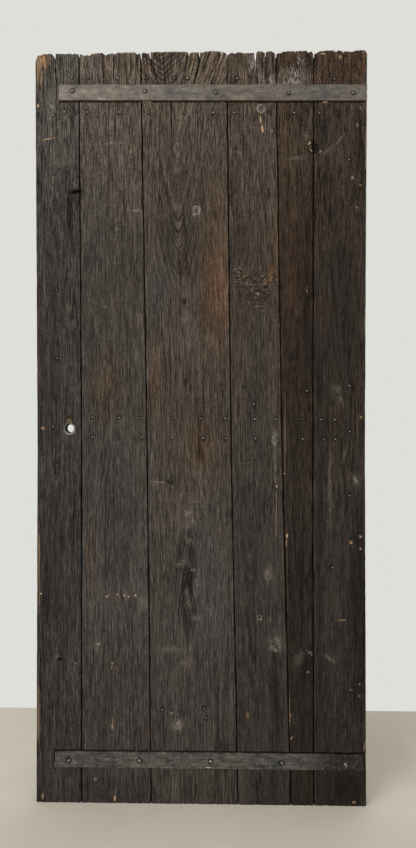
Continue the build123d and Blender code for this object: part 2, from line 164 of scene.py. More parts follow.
def joined(name, pieces):
    """Joins pieces into one object."""
    pick(*pieces)
    bpy.ops.object.join()
    whole = bpy.context.active_object
    whole.name = whole.data.name = name
    return whole


def smooth(piece, degrees):
    """Shades a piece smooth, except at edges that turn by more than this."""
    pick(piece)
    bpy.ops.object.shade_smooth_by_angle(angle=radians(degrees))


def dress(piece, material):
    """Gives a piece one material and no other."""
    piece.data.materials.clear()
    piece.data.materials.append(material)


print("helpers ready")

# %% [markdown]
# ## Camera
# The photograph was taken from 1.7 m away at the height of the latch, turned one degree
# to the left. The long side of the picture is its height, so the 36 mm sensor spans that.

# %% Camera
SENSOR = 36                                  # millimetres
PHOTO_LONG_SIDE, PHOTO_FOCUS = 848, 612      # both in pixels of the photograph
CAMERA_PLACE = (55.6 * mm, -1726.4 * mm, 1066.3 * mm)
CAMERA_TURN, CAMERA_DIP = 1.162, 0.304       # degrees to the left and down
eye = bpy.data.cameras.new("photo_camera")
eye.sensor_width = SENSOR
eye.lens = SENSOR * PHOTO_FOCUS / PHOTO_LONG_SIDE
camera = bpy.data.objects.new("photo_camera", eye)
camera.location = CAMERA_PLACE
camera.rotation_euler = (radians(90 - CAMERA_DIP), 0, radians(CAMERA_TURN))
bpy.context.collection.objects.link(camera)
bpy.context.scene.camera = camera
print("lens", round(eye.lens, 2), "mm")

# %% [markdown]
# ## Floor and light
# A pale floor ends half a metre behind the leaf. Beyond it is only the pale colour of the
# world, so that nothing hides the leaf when it is seen from behind. A large soft light
# hangs high on the left, and a weaker one fills in from the right.

# %% Floor and light
FLOOR_BACK, FLOOR_FRONT, FLOOR_SIDE = 528 * mm, -5.0, 5.0
BACKDROP_COLOUR = (0.735, 0.735, 0.700, 1)
LIGHTS = [
    # name, place, what it shines at, width, power and colour
    ("main_light", (-1.9, -2.4, 3.1), (0, 0, 1.1), 1.8, 75, (1.0, 0.98, 0.95)),
    ("fill_light", (2.4, -2.2, 1.6), (0, 0, 1.0), 1.6, 14, (1.0, 0.95, 0.88)),
]
bpy.ops.object.select_all(action="DESELECT")
bpy.ops.mesh.primitive_plane_add(size=1, location=(0, (FLOOR_BACK + FLOOR_FRONT) / 2, 0))
floor = bpy.context.active_object
floor.name = "pale_floor"
floor.scale = (2 * FLOOR_SIDE, FLOOR_BACK - FLOOR_FRONT, 1)
settle(floor)

bpy.context.scene.view_settings.view_transform = "Standard"
world = bpy.data.worlds.new("pale_backdrop")
world.use_nodes = True
world.node_tree.nodes["Background"].inputs["Color"].default_value = BACKDROP_COLOUR
world.node_tree.nodes["Background"].inputs["Strength"].default_value = 1.0
bpy.context.scene.world = world


def soft_light(name, place, aim, width, power, colour):
    """A square area light that shines from place towards aim and isn't seen itself."""
    lamp = bpy.data.lights.new(name, "AREA")
    lamp.size, lamp.energy, lamp.color = width, power, colour
    light = bpy.data.objects.new(name, lamp)
    bpy.context.collection.objects.link(light)
    light.location = place
    away = np.array(place) - np.array(aim)
    light.rotation_euler = (np.arctan2(np.hypot(away[0], away[1]), away[2]), 0,
                            np.arctan2(away[0], -away[1]))
    light.visible_camera = False


for values in LIGHTS:
    soft_light(*values)
print("floor and", len(LIGHTS), "lights")

# %% [markdown]
# ## Chance that repeats
# Old wood is irregular, and the script has to give the same leaf each time it runs. This
# field is a smooth hash: the same place and seed always give the same value, 0 to 1.

# %% A smooth random field
HASH_X, HASH_Z, HASH_SEED, HASH_MIX = 374761393, 668265263, 2246822519, 1274126177
HASH_BITS, VALUE_BITS = 0xFFFFFFFF, 0xFFFF


def corner_value(ix, iz, seed):
    """A fixed random value for each corner of a square lattice."""
    mixed = (ix * HASH_X + iz * HASH_Z + seed * HASH_SEED) & HASH_BITS
    mixed = ((mixed ^ (mixed >> 13)) * HASH_MIX) & HASH_BITS
    return ((mixed ^ (mixed >> 16)) & VALUE_BITS) / VALUE_BITS


def chance(x, z, seed):
    """A smooth random value at each place, which changes over about one unit."""
    x, z = np.broadcast_arrays(np.asarray(x, dtype=float), np.asarray(z, dtype=float))
    ix, iz = np.floor(x).astype(np.int64), np.floor(z).astype(np.int64)
    fx, fz = x - ix, z - iz
    fx, fz = fx * fx * (3 - 2 * fx), fz * fz * (3 - 2 * fz)
    low = corner_value(ix, iz, seed) * (1 - fx) + corner_value(ix + 1, iz, seed) * fx
    high = corner_value(ix, iz + 1, seed) * (1 - fx) + corner_value(ix + 1, iz + 1, seed) * fx
    return low * (1 - fz) + high * fz


def ramp_up(value, start, end):
    """0 below start, 1 above end."""
    return np.clip((value - start) / (end - start), 0, 1)


print("mean of the field", round(float(chance(np.arange(5000) * 0.37, 0.5, 1).mean()), 3))

# %% [markdown]
# ## Where the boards meet
# The boards taper, so each joint is a line from the foot over the waist to the top.

# %% Joint lines
def joint_line(joint):
    """X of a joint at the foot, at the waist and at the top. Joint 0 is the latch edge."""
    line = []
    for column, width in ((3, LEAF_W), (2, LEAF_W - 2 * HOLLOW), (1, LEAF_W)):
        widths = [board[column] for board in BOARDS]
        line.append((sum(widths[:joint]) / sum(widths) - 0.5) * width)
    return line


def joint_x(joint, z):
    """X of a joint at the heights z."""
    return np.interp(z, [0, WAIST_Z, LEAF_H], joint_line(joint))


def across(board, share, z):
    """X at a share of a board's width, at height z."""
    left, right = joint_x(board, z), joint_x(board + 1, z)
    return left + share * (right - left)


print("joints at the waist", [round(float(joint_x(j, WAIST_Z)) / mm) for j in range(7)])

# %% [markdown]
# ## The run of the grain
# Grain is what makes a board look like wood, so it is worked out first, as three numbers for
# each place on the face. The fibre number stays the same along a fibre: it follows the
# board, bends round knots, and fans out towards the top of the wide board. The ring number
# stays the same along a growth ring. Where the saw ran near the heart of the tree, the
# rings close in arches, and round a knot they are ovals. The third number says where the
# rings show. The relief and the colour both read these numbers, so they agree.

# %% Grain
KNOTS = [
    # x, z and radius in millimetres, and how much taller than wide the knot is
    (160, 1430, 26, 1.3), (-340, 1702, 15, 1.8), (313, 1818, 12, 1.4), (252, 1242, 8, 1.6),
    (121, 1162, 6, 0.9), (-87, 896, 7, 1.2), (-45, 1398, 6, 1.4), (-29, 633, 5, 3.0),
    (398, 205, 11, 2.0), (380, 1150, 9, 1.6), (-229, 925, 9, 4.0), (-350, 1330, 5, 1.8),
]
HEARTS = [
    # board, x and z where the arches start, half width, how far they open, height, and how
    # round the tips of pointed ones are. A negative opening turns the arches upside down.
    (0, -402, 1290, 22, 26, 300, 0), (1, -238, 1010, 40, -64, 420, 5),
    (2, -38, 1900, 54, 104, 480, 15), (2, -72, 2090, 34, 70, 105, 2), (3, 152, 900, 26, 36, 380, 0),
    (5, 385, 1560, 34, 44, 420, 0), (2, -30, 770, 30, -40, 280, 6),
]
FAN_BOARD, FAN_X, FAN_Z, FAN_SPREAD = 2, -60 * mm, 1930 * mm, 5.0   # its grain opens upwards here
TAPER_FOLLOWED, SWAY, TREMBLE = 0.85, 5 * mm, 1.6 * mm              # how fibres run along a board


def grain(x, z, board):
    """Ring number and fibre number in metres, and 1 where rings show, at places on a face."""
    middle = across(board, 0.5, z)
    fibre = x - TAPER_FOLLOWED * (middle - across(board, 0.5, 0.0))
    fibre = fibre + SWAY * (chance(x / 0.12, z / 0.55, 40 + board) - 0.5)
    fibre = fibre + TREMBLE * (chance(x / 0.04, z / 0.09, 50 + board) - 0.5)
    if board == FAN_BOARD:
        opened = 1 + FAN_SPREAD * np.maximum(z - FAN_Z, 0)
        fibre = FAN_X + (fibre - FAN_X) / opened
    ovals = []
    for knot_x, knot_z, radius, tall in KNOTS:
        dx, dz = x - knot_x * mm, (z - knot_z * mm) / tall
        far, reach = np.hypot(dx, dz), radius * mm
        fibre = fibre - dx * reach ** 2 / (dx ** 2 + (dz / 1.6) ** 2 + 0.5 * reach ** 2)
        ovals.append((far, 1 - ramp_up(far / reach, 0.9, 1.5)))
    ring, shown = fibre, 0 * fibre
    for owner, heart_x, heart_z, half, opening, height, tip in HEARTS:
        if owner == board:
            off, down = fibre - heart_x * mm, (heart_z * mm - z) / (height * mm)
            fall = np.clip(down if opening > 0 else 1 - down, 0, 1)
            depth = abs(opening) * mm * fall
            arch = np.hypot(off, tip * mm) + depth if tip else np.hypot(off, depth + 1 * mm)
            here = np.exp(-(off / (half * mm)) ** 2)
            here = here * ramp_up(down, 0, 0.08) * ramp_up(1 - down, 0, 0.12)
            ring, shown = np.where(here > shown, arch, ring), np.maximum(shown, here)
    for far, here in ovals:
        ring, shown = ring + here * (far - ring), np.maximum(shown, here)
    return ring, fibre, shown


print("grain of", len(KNOTS), "knots and", len(HEARTS), "hearts")

# %% [markdown]
# ## Wear of the face
# Rain and sun eat the soft wood between the rings and leave the hard wood standing. The
# relief is the depth of the worn face below the new one. It is coarser near the top, where
# the leaf stood in the weather, and drying checks open along the grain.

# %% Relief of a weathered face
SCARS = [
    # bark-edged hollows beside knots: x, z, half width, half height and depth, millimetres
    (-362, 1640, 9, 72, 2.6), (-345, 1706, 20, 12, 3.0), (140, 1440, 20, 26, 1.2),
    (312, 1818, 12, 16, 4.5), (252, 1242, 8, 13, 1.8), (-26, 611, 7, 90, 1.6),
    (-29, 702, 10, 12, 1.8), (-438, 1046, 5, 5, 2.0), (340, 2080, 10, 6, 2.5),
    (398, 205, 7, 12, 1.2), (121, 1162, 8, 4, 1.6), (-87, 896, 6, 5, 1.4),
]
STRIPE_W, RING_W, FIBRE_W, CHECK_W = 3.4 * mm, 4 * mm, 2.4 * mm, 12 * mm      # how far apart they are
STRIPE_D, FIBRE_D, BROAD_D, CHECK_D = 0.6, 0.35, 0.4, 2.2                     # depths, millimetres
TOP_WEATHER, FOOT_WEATHER = 1.5, 0.5


def weather(z):
    """How hard the weather worked at height z: 1 on most of the leaf, more at both ends."""
    return 1 + TOP_WEATHER * ramp_up(z, 1.86, 2.07) ** 2 + FOOT_WEATHER * ramp_up(0.12 - z, 0, 0.12)


def relief(x, z, board, side):
    """Depth of the worn face below the nominal one, in metres. side is 0 in front, 1 behind."""
    ring, fibre, shown = grain(x, z, board)
    seed = 100 + 20 * board + 7 * side
    rings = chance(fibre / STRIPE_W, z / 0.28, seed)
    rings = rings + shown * (chance(ring / RING_W, z / 0.28, seed + 6) - rings)
    fine = chance(fibre / FIBRE_W, z / 0.06, seed + 1)
    broad = chance(x / 0.07, z / 0.42, seed + 2)
    check = 1 - np.clip(np.abs(chance(fibre / CHECK_W, z / 0.26, seed + 3) - 0.5) / 0.07, 0, 1)
    opened = ramp_up(chance(x / 0.05, z / 0.24, seed + 4) + 0.12 * (weather(z) - 1), 0.62, 0.74)
    depth = weather(z) * (STRIPE_D * rings ** 2 + FIBRE_D * fine)
    depth = depth + BROAD_D * broad + CHECK_D * check * opened
    if side == 0:
        for scar_x, scar_z, wide, high, deep in SCARS:
            far = np.hypot((x / mm - scar_x) / wide, (z / mm - scar_z) / high)
            ragged = far + 0.5 * (chance(x / (4 * mm), z / (11 * mm), seed + 5) - 0.5)
            depth = depth + deep * (1 - ramp_up(ragged, 0.35, 1.0)) * (0.6 + 0.8 * fine)
    return depth * mm


probe = relief(np.linspace(-0.1, 0.0, 400), 1.2, 2, 0) / mm
print("relief", round(float(probe.min()), 2), "to", round(float(probe.max()), 2), "mm")

# %% [markdown]
# ## One board
# A board starts as a grid that stands upright, is extruded to the board's thickness and
# cut into layers. The columns are closer near the long edges, and the rows are closer near
# the top, where the end grain is ragged. Then the vertices are brought to the joint lines
# and to the relief. Operators can't follow a grain, so this one step is worked out for all
# vertices at once. At last the tongue is extruded from the middle of the right edge.

# %% The worn tops
TOPS = [
    # share of the board's width, and how far the end grain stands below the highest point
    [(0, 26), (0.03, 14), (0.07, 7.5), (0.17, 3.5), (0.24, 2), (0.26, 4), (0.30, 2),
     (0.36, 2), (0.41, 6), (0.45, 12), (0.475, 3), (0.84, 2.5), (0.865, 5), (0.89, 3), (1, 4.5)],
    [(0, 4), (0.085, 10), (0.125, 6.5), (0.155, 10), (0.21, 3), (0.37, 1), (0.44, 10), (0.475, 4),
     (0.55, 3), (0.595, 6.5), (0.615, 1), (0.91, 0.5), (0.96, 8), (1, 4)],
    [(0, 4), (0.03, 1.5), (0.077, 6), (0.105, 1.5), (0.2, 0), (0.5, 0.5), (0.55, 2.5), (0.567, 6.5),
     (0.595, 3), (0.69, 1.5), (0.71, 4.5), (0.755, 0), (0.93, 0), (0.965, 2.5), (1, 9)],
    [(0, 13), (0.1, 5.5), (0.155, 9), (0.2, 4.5), (0.425, 7.5), (0.56, 7), (0.62, 3.5), (0.66, 2),
     (0.77, 4.5), (0.787, 7), (0.85, 2.5), (0.945, 3.5), (1, 11)],
    [(0, 11), (0.03, 8.5), (0.125, 8.5), (0.175, 4.5), (0.36, 3.5), (0.565, 2), (0.575, 6),
     (0.615, 2), (0.81, 3), (0.865, 8.5), (0.955, 4.5), (1, 13)],
    [(0, 13), (0.055, 8), (0.1, 4.5), (0.2, 2.5), (0.39, 2), (0.41, 7), (0.45, 2.5), (0.53, 6),
     (0.62, 5.5), (0.71, 7.5), (0.765, 4), (0.88, 2), (0.975, 4), (1, 13)],
]
DROP_SHARE, FIBRE_TIPS, SPLINTERS, END_HOLLOW = 0.9, 2.2, 1.8, 2.5   # the last three in millimetres


def top_of(board, share, y):
    """Height of the ragged end grain at a share of a board's width and at depth y."""
    drop = np.interp(share, [s for s, _ in TOPS[board]], [d for _, d in TOPS[board]])
    x = share * (BOARDS[board][1] * mm)
    fibres = FIBRE_TIPS * chance(x / (3.2 * mm), y / (9 * mm), 300 + board) ** 2
    splinters = SPLINTERS * chance(x / (1.6 * mm), y / (5 * mm), 310 + board) ** 3
    hollow = END_HOLLOW * chance(x / (20 * mm), y / (12 * mm), 320 + board)
    hollow = hollow * ramp_up(y, FRONT + 3 * mm, FRONT + 16 * mm)
    return LEAF_H - (DROP_SHARE * drop + fibres + splinters + hollow) * mm


print("highest points", [round(float(top_of(b, np.linspace(0, 1, 99), 0.0).max()) / mm) for b in range(6)])

# %% The block of a board, cut into columns, rows and layers
COLUMN, ROWS, TOP_ROWS, TOP_ZONE, FOOT_ROWS, FOOT_ZONE = 1.6 * mm, 226, 26, 90 * mm, 4, 14 * mm
LAYERS = [0, 3, 8, 13, 17, 21, 25, 30, 35, 38]       # depths below the front face, millimetres
SHUT_JOINT, SHUT_FROM, SHUT_OVER, SHUT_BY = 3, 1960 * mm, 30 * mm, 0.8   # nearly shut near the top
CROWDING = 0.35                                      # how much closer columns stand at the edges
FOOT_FRAY, EDGE_NIBBLE, ARRIS, ARRIS_MORE = 2.5 * mm, 0.7 * mm, 1.6, 3.4     # wear of the edges


def board_block(name, board):
    """A closed block with a board's columns, rows and layers, not yet in its shape."""
    width = float(joint_x(board + 1, 0) - joint_x(board, 0))
    columns = round(width / COLUMN)
    bpy.ops.object.select_all(action="DESELECT")
    bpy.ops.mesh.primitive_grid_add(x_subdivisions=columns, y_subdivisions=ROWS, size=1,
                                    location=(width / 2, FRONT, LEAF_H / 2), rotation=(pi / 2, 0, 0))
    block = bpy.context.active_object
    block.name = block.data.name = name
    block.scale = (width, LEAF_H, 1)
    settle(block)
    in_edit_mode(bpy.ops.mesh.select_all, action="SELECT")
    in_edit_mode(bpy.ops.mesh.extrude_region_move, TRANSFORM_OT_translate={"value": (0, BOARD_T, 0)})
    cut_across(block, 1, len(LAYERS) - 2)
    in_edit_mode(bpy.ops.mesh.select_all, action="SELECT")
    in_edit_mode(bpy.ops.mesh.normals_make_consistent, inside=False)
    return block, width


def half_gap(joint, z):
    """Half the gap of a joint at the heights z."""
    shut = ramp_up(z, SHUT_FROM, SHUT_FROM + SHUT_OVER) * (joint == SHUT_JOINT)
    return JOINT_GAP / 2 * (1 - SHUT_BY * shut)


def shape_board(block, width, board):
    """Brings a block's vertices to the board's tapered edges, worn faces and ragged top."""
    x, y, z = read(block.data.vertices, "co", 3).T
    share = x / width
    share = share - CROWDING * np.sin(2 * pi * share) / (2 * pi)
    row = z / LEAF_H * ROWS
    z = np.interp(row, [0, FOOT_ROWS, ROWS - TOP_ROWS, ROWS], [0, FOOT_ZONE, LEAF_H - TOP_ZONE, LEAF_H])
    layer = np.rint((y - FRONT) / BOARD_T * (len(LAYERS) - 1)).astype(int)
    y = FRONT + np.array(LAYERS)[layer] * mm
    above = z - LEAF_H + TOP_ZONE
    ragged = LEAF_H - TOP_ZONE + above * (top_of(board, share, y) - LEAF_H + TOP_ZONE) / TOP_ZONE
    z = np.where(z > LEAF_H - TOP_ZONE, ragged, z)
    z = z + (row < 0.5) * FOOT_FRAY * chance(x / (4 * mm), y / (8 * mm), 330 + board) ** 3
    left = joint_x(board, z) + (half_gap(board, z) if board > 0 else 0)
    right = joint_x(board + 1, z) - (half_gap(board + 1, z) if board + 1 < len(BOARDS) else 0)
    nibble = EDGE_NIBBLE * chance(z / (14 * mm), y / (20 * mm), 340 + board) ** 2
    outer = (board == 0) * (share < 0.5) + (board + 1 == len(BOARDS)) * (share > 0.5)
    nibble = nibble * (1 + 0.5 * outer)
    x = left + nibble + share * (right - left - 2 * nibble)
    for side, face, inward in ((0, FRONT, 1), (1, BACK, -1)):
        on_face = np.abs(y - face) < 0.1 * mm
        depth = relief(x[on_face], z[on_face], board, side)
        gap = np.minimum(x[on_face] - left[on_face], right[on_face] - x[on_face])
        rounding = chance(z[on_face] / 0.05, x[on_face] / 0.05, 350 + board + side) ** 3
        arris = (ARRIS + ARRIS_MORE * rounding) * mm
        inside = np.clip(gap / arris, 0, 1)
        depth = depth + arris * (1 - np.sqrt(1 - (1 - inside) ** 2))
        y[on_face] = face + inward * depth
    move_vertices(block.data, np.column_stack([x, y, z]))


def extrude_tongue(block, board):
    """Extrudes the tongue from the middle layers of the right edge."""
    centre, normal = read(block.data.polygons, "center", 3), read(block.data.polygons, "normal", 3)
    middle = (FRONT + BACK) / 2
    worn = SHUT_TONGUE_WORN if board + 1 == SHUT_JOINT else TONGUE_WORN
    chosen = ((normal[:, 0] > 0.7) & (np.abs(centre[:, 1] - middle) < TONGUE_T / 2)
              & (centre[:, 2] < LEAF_H - worn)
              & (centre[:, 0] > joint_x(board + 1, centre[:, 2]) - TONGUE_L))
    pick(block)
    choose(block.data, faces=chosen)
    in_edit_mode(bpy.ops.mesh.extrude_region_move, TRANSFORM_OT_translate={"value": (TONGUE_L, 0, 0)})


def make_board(board):
    """One board with its worn faces and its tongue, before anything is cut into it."""
    block, width = board_block("weathered_" + BOARDS[board][0], board)
    shape_board(block, width, board)
    if board + 1 < len(BOARDS):
        extrude_tongue(block, board)
    return block


boards = [make_board(index) for index in range(len(BOARDS))]
print("faces", [len(board.data.polygons) for board in boards])

# %% [markdown]
# ## Where the nails are
# The CAD nodes hold the nails as separate solids. Their heads are the foremost points, so
# the places are read from there: points within a head's width of each other are one nail.

# %% Nail places, read from the frame
STRAP_HEAD_R, STRAP_HEAD_H, STRAP_SHANK, STRAP_NAIL_L = 4.8 * mm, 2.5 * mm, 4 * mm, 58 * mm
LEDGE_HEAD_R, LEDGE_HEAD_H, LEDGE_SHANK, LEDGE_NAIL_L = 3.0 * mm, 1.2 * mm, 3 * mm, 60 * mm
SHORT_NAIL_L, STRAP_PROUD = 30 * mm, 1.5 * mm
# shank, head radius, head height, length, and where the underside of the head is
STRAP_NAIL = (STRAP_SHANK, STRAP_HEAD_R, STRAP_HEAD_H, STRAP_NAIL_L, FRONT - STRAP_PROUD)
LEDGE_NAIL = (LEDGE_SHANK, LEDGE_HEAD_R, LEDGE_HEAD_H, LEDGE_NAIL_L, FRONT)
SHORT_NAIL = (LEDGE_SHANK, LEDGE_HEAD_R, LEDGE_HEAD_H, SHORT_NAIL_L, FRONT)
NAIL_NODES = {
    "top_strap_nails": STRAP_NAIL,
    "bottom_strap_nails": STRAP_NAIL,
    "top_ledge_nails_upper": LEDGE_NAIL,
    "top_ledge_nails_lower": LEDGE_NAIL,
    "middle_ledge_nails_upper": LEDGE_NAIL,
    "middle_ledge_nails_lower": LEDGE_NAIL,
    "bottom_ledge_nails": LEDGE_NAIL,
    "latch_side_nails": SHORT_NAIL,
    "field_nails": SHORT_NAIL,
    "hinge_side_nails": SHORT_NAIL,
}


def nail_places(node):
    """X and Z of each nail of a CAD node."""
    points = read(frame["nodes"][node].data.vertices, "co", 3)
    heads = points[points[:, 1] < points[:, 1].min() + 0.2 * mm][:, [0, 2]]
    places = []
    while len(heads):
        near = np.linalg.norm(heads - heads[0], axis=1) < 3 * LEDGE_HEAD_R
        cluster = heads[near]
        places.append((cluster.min(axis=0) + cluster.max(axis=0)) / 2)
        heads = heads[~near]
    return sorted((float(x), float(z)) for x, z in places)


nails_at = {node: nail_places(node) for node in NAIL_NODES}
print("nails", {node: len(places) for node, places in nails_at.items()})

# %% [markdown]
# ## What is cut out of the boards
# Housings, grooves, holes and splits are cut with the Boolean modifier. Each cutter is a
# closed mesh of its own. The splits follow the photograph: a jagged wedge that is wide at
# the top of the board, narrows as it runs down the grain, and closes before it reaches the
# back, as a drying check does. Only the widest one goes right through.

# %% Plain cutters: nail holes, housings, grooves
STRAP_T, STRAP_W = 6 * mm, 44.5 * mm
HOUSING_FLOOR = FRONT + STRAP_T - STRAP_PROUD
TOP_STRAP_Z, TOP_STRAP_TILT, TOP_STRAP_LEFT = 1973 * mm, 0.6, 66 * mm
BOTTOM_STRAP_Z, BOTTOM_STRAP_LEFT = 121.5 * mm, 50 * mm
BOTTOM_STRAP_SHORT, BOTTOM_STRAP_SKEW = 6 * mm, 3 * mm
HOUSING_GAP, HOUSING_PLAY, OVERSHOOT = 6 * mm, 0.3 * mm, 10 * mm
HOUSING_RAGGED, CHIP_SHY = 1.5 * mm, 0.6 * mm
TOP_CHIPS, BOTTOM_CHIPS = [(-150, 22), (344, 12), (60, 5)], [(-177, 6), (-140, 8)]   # x and half width
NAIL_PLAY, NAIL_SPARE, GROOVE_SPARE = 0.1 * mm, 1 * mm, 0.8 * mm
DISH_R, DISH_D, STRAP_DISH_R, STRAP_DISH_D = 4.3 * mm, 1.9 * mm, 6.6 * mm, 0.7 * mm
DISH_SIDES = 10


def turned(thing, degrees, centre):
    """Turns a piece about the Y axis, clockwise seen from the front."""
    pick(thing)
    in_edit_mode(bpy.ops.mesh.select_all, action="SELECT")
    in_edit_mode(bpy.ops.transform.rotate, value=-radians(degrees), orient_axis="Y",
                 orient_type="GLOBAL", center_override=centre)
    return thing


def nail_hole_cutter():
    """One cutter with a square hole for every nail of the leaf."""
    holes = []
    for node, (shank, _, _, length, seat) in NAIL_NODES.items():
        half = shank / 2 + NAIL_PLAY
        for x, z in nails_at[node]:
            holes.append(box_at("nail_hole", (x - half, FRONT - OVERSHOOT, z - half),
                                (x + half, seat + length + NAIL_SPARE, z + half)))
    return joined("nail_holes", holes)


def nail_dish_cutter():
    """The rotted dish round each nail head, in the boards and, shallower, in the straps."""
    dishes = []
    for number, (node, (_, _, _, _, seat)) in enumerate(NAIL_NODES.items()):
        in_strap = seat < FRONT
        radius, floor_y = (STRAP_DISH_R, seat + STRAP_DISH_D) if in_strap else (DISH_R, FRONT + DISH_D)
        for order, (x, z) in enumerate(nails_at[node]):
            own = 0.85 + 0.3 * float(chance(order * 2.3, 0.5, 380 + number))
            bpy.ops.object.select_all(action="DESELECT")
            bpy.ops.mesh.primitive_cylinder_add(
                vertices=DISH_SIDES, radius=radius * own, depth=floor_y - FRONT + OVERSHOOT,
                location=(x, (floor_y + FRONT - OVERSHOOT) / 2, z), rotation=(pi / 2, 0, 0))
            dish = settle(bpy.context.active_object)
            places = read(dish.data.vertices, "co", 3)
            wobble = 1 + 0.35 * (chance(places[:, 0] / (3 * mm), places[:, 2] / (3 * mm), 390) - 0.5)
            places[:, [0, 2]] = [x, z] + (places[:, [0, 2]] - [x, z]) * wobble[:, None]
            move_vertices(dish.data, places)
            dishes.append(dish)
    return joined("nail_dishes", dishes)


def housing_cutter(name, z, tilt, left, above, below, chips):
    """The recess for a strap, open at the hinge edge. Chips of wood still bridge its open strip."""
    start = float(joint_x(0, z)) + left - HOUSING_PLAY
    end = float(joint_x(len(BOARDS), z)) + OVERSHOOT
    cutter = box_at(name, (start, FRONT - OVERSHOOT, z - STRAP_W / 2 - below),
                    (end, HOUSING_FLOOR, z + STRAP_W / 2 + above))
    cut_across(cutter, 0, 99)
    cut_across(cutter, 0, 3)
    x, y, height = read(cutter.data.vertices, "co", 3).T
    open_side = np.sign(above - below)
    at_strip = (height - z) * open_side > STRAP_W / 2 + HOUSING_PLAY
    ragged = HOUSING_RAGGED * chance(x / (9 * mm), 0.5, 370) ** 2
    torn = 0.8 + 0.2 * chance(x / (3 * mm), 0.5, 371)
    for chip_x, half in chips:
        bridged = 1 - ramp_up(np.abs(x / mm - chip_x) / half, 0.55, 1.0)
        ragged = np.maximum(ragged, bridged * (HOUSING_GAP - CHIP_SHY) * torn)
    height = height - at_strip * open_side * ragged
    move_vertices(cutter.data, np.column_stack([x, y, height]))
    return turned(cutter, tilt, (0, 0, z))


def groove_cutter(board):
    """The groove in a board's left edge, which takes its neighbour's tongue."""
    depth = TONGUE_L - JOINT_GAP / 2 + GROOVE_SPARE
    half = TONGUE_T / 2 + TONGUE_PLAY
    middle = (FRONT + BACK) / 2
    bar = box_at("groove", (-OVERSHOOT, middle - half, -OVERSHOOT),
                 (depth, middle + half, LEAF_H + OVERSHOOT))
    cut_across(bar, 2, 39)
    places = read(bar.data.vertices, "co", 3)
    places[:, 0] += joint_x(board, places[:, 2])
    move_vertices(bar.data, places)
    return bar


nail_holes = nail_hole_cutter()
nail_dishes = nail_dish_cutter()
top_housing = housing_cutter("top_housing", TOP_STRAP_Z, TOP_STRAP_TILT, TOP_STRAP_LEFT,
                             HOUSING_PLAY, HOUSING_GAP, TOP_CHIPS)
bottom_housing = housing_cutter("bottom_housing", BOTTOM_STRAP_Z, 0, BOTTOM_STRAP_LEFT,
                                HOUSING_GAP, HOUSING_PLAY, BOTTOM_CHIPS)
print("nail holes", len(nail_holes.data.polygons) // 6)

# %% Round and square holes
LATCH_IN, LATCH_Z, LATCH_R, LATCH_SIDES = 88 * mm, 1045 * mm, 11.75 * mm, 40
LATCH_X = joint_x(0, LATCH_Z) + LATCH_IN
LATCH_RIM_R, LATCH_RIM_D, LATCH_RIM_FADE = 18.5 * mm, 4 * mm, 3 * mm
HINGES_Z, SCREW_R, SCREW_D, SCREW_SIDES = [1735 * mm, 730 * mm, 322.5 * mm], 2.5 * mm, 22 * mm, 12
SCREW_NEAR, SCREW_FAR, SCREW_PAIR = 16 * mm, 40.5 * mm, 33 * mm
OLD_HOLE_W, FILLED_HOLE_W, OLD_HOLE_D = 4.4 * mm, 2.2 * mm, 12 * mm
OLD_HOLES = [
    # board, share of its width, and height
    (0, 0.52, 402), (0, 0.70, 1077), (0, 0.14, 1046), (1, 0.38, 576), (1, 0.54, 583), (1, 0.64, 580),
    (1, 0.71, 576), (1, 0.81, 580), (5, 0.91, 1925),
]


def round_cutter(name, x, z, radius, depth, sides):
    """A round hole bored straight into the front."""
    bpy.ops.object.select_all(action="DESELECT")
    bpy.ops.mesh.primitive_cone_add(vertices=sides, radius1=radius, radius2=radius, depth=depth + OVERSHOOT,
                                    location=(x, FRONT + (depth - OVERSHOOT) / 2, z),
                                    rotation=(-pi / 2, 0, 0))
    hole = bpy.context.active_object
    hole.name = hole.data.name = name
    return settle(hole)


def latch_cutter():
    """The latch's through hole, whose front edge is worn to a wide uneven rim."""
    bore = round_cutter("latch_hole", LATCH_X, LATCH_Z, LATCH_R, BOARD_T + OVERSHOOT, LATCH_SIDES)
    cut_across(bore, 1, 7)
    places = read(bore.data.vertices, "co", 3)
    away = places - [LATCH_X, 0, LATCH_Z]
    angle = np.arctan2(away[:, 2], away[:, 0])
    worn = 1 - ramp_up(places[:, 1], FRONT, FRONT + LATCH_RIM_D + LATCH_RIM_FADE)
    grow = 1 + worn ** 1.5 * (LATCH_RIM_R / LATCH_R - 1) * (0.75 + 0.4 * chance(angle * 1.3, 0.3, 360))
    places[:, [0, 2]] = np.array([LATCH_X, LATCH_Z]) + away[:, [0, 2]] * grow[:, None]
    move_vertices(bore.data, places)
    return bore


def hole_cutters():
    """Holes that removed hinge screws and pulled nails left."""
    holes = []
    for z in HINGES_Z:
        edge = float(joint_x(len(BOARDS), z))
        for x, rise in ((edge - SCREW_NEAR, SCREW_PAIR / 2), (edge - SCREW_NEAR, -SCREW_PAIR / 2),
                        (edge - SCREW_FAR, 0)):
            holes.append(round_cutter("screw_hole", x, z + rise, SCREW_R, SCREW_D, SCREW_SIDES))
    for board, share, z in OLD_HOLES:
        half = (FILLED_HOLE_W if board == 1 else OLD_HOLE_W) / 2
        x, z = float(across(board, share, z * mm)), z * mm
        holes.append(box_at("old_hole", (x - half, FRONT - OVERSHOOT, z - half),
                            (x + half, FRONT + OLD_HOLE_D, z + half)))
    return joined("old_holes", holes)


latch_hole = latch_cutter()
old_holes = hole_cutters()
print("latch hole and", len(OLD_HOLES) + 3 * len(HINGES_Z), "old holes")

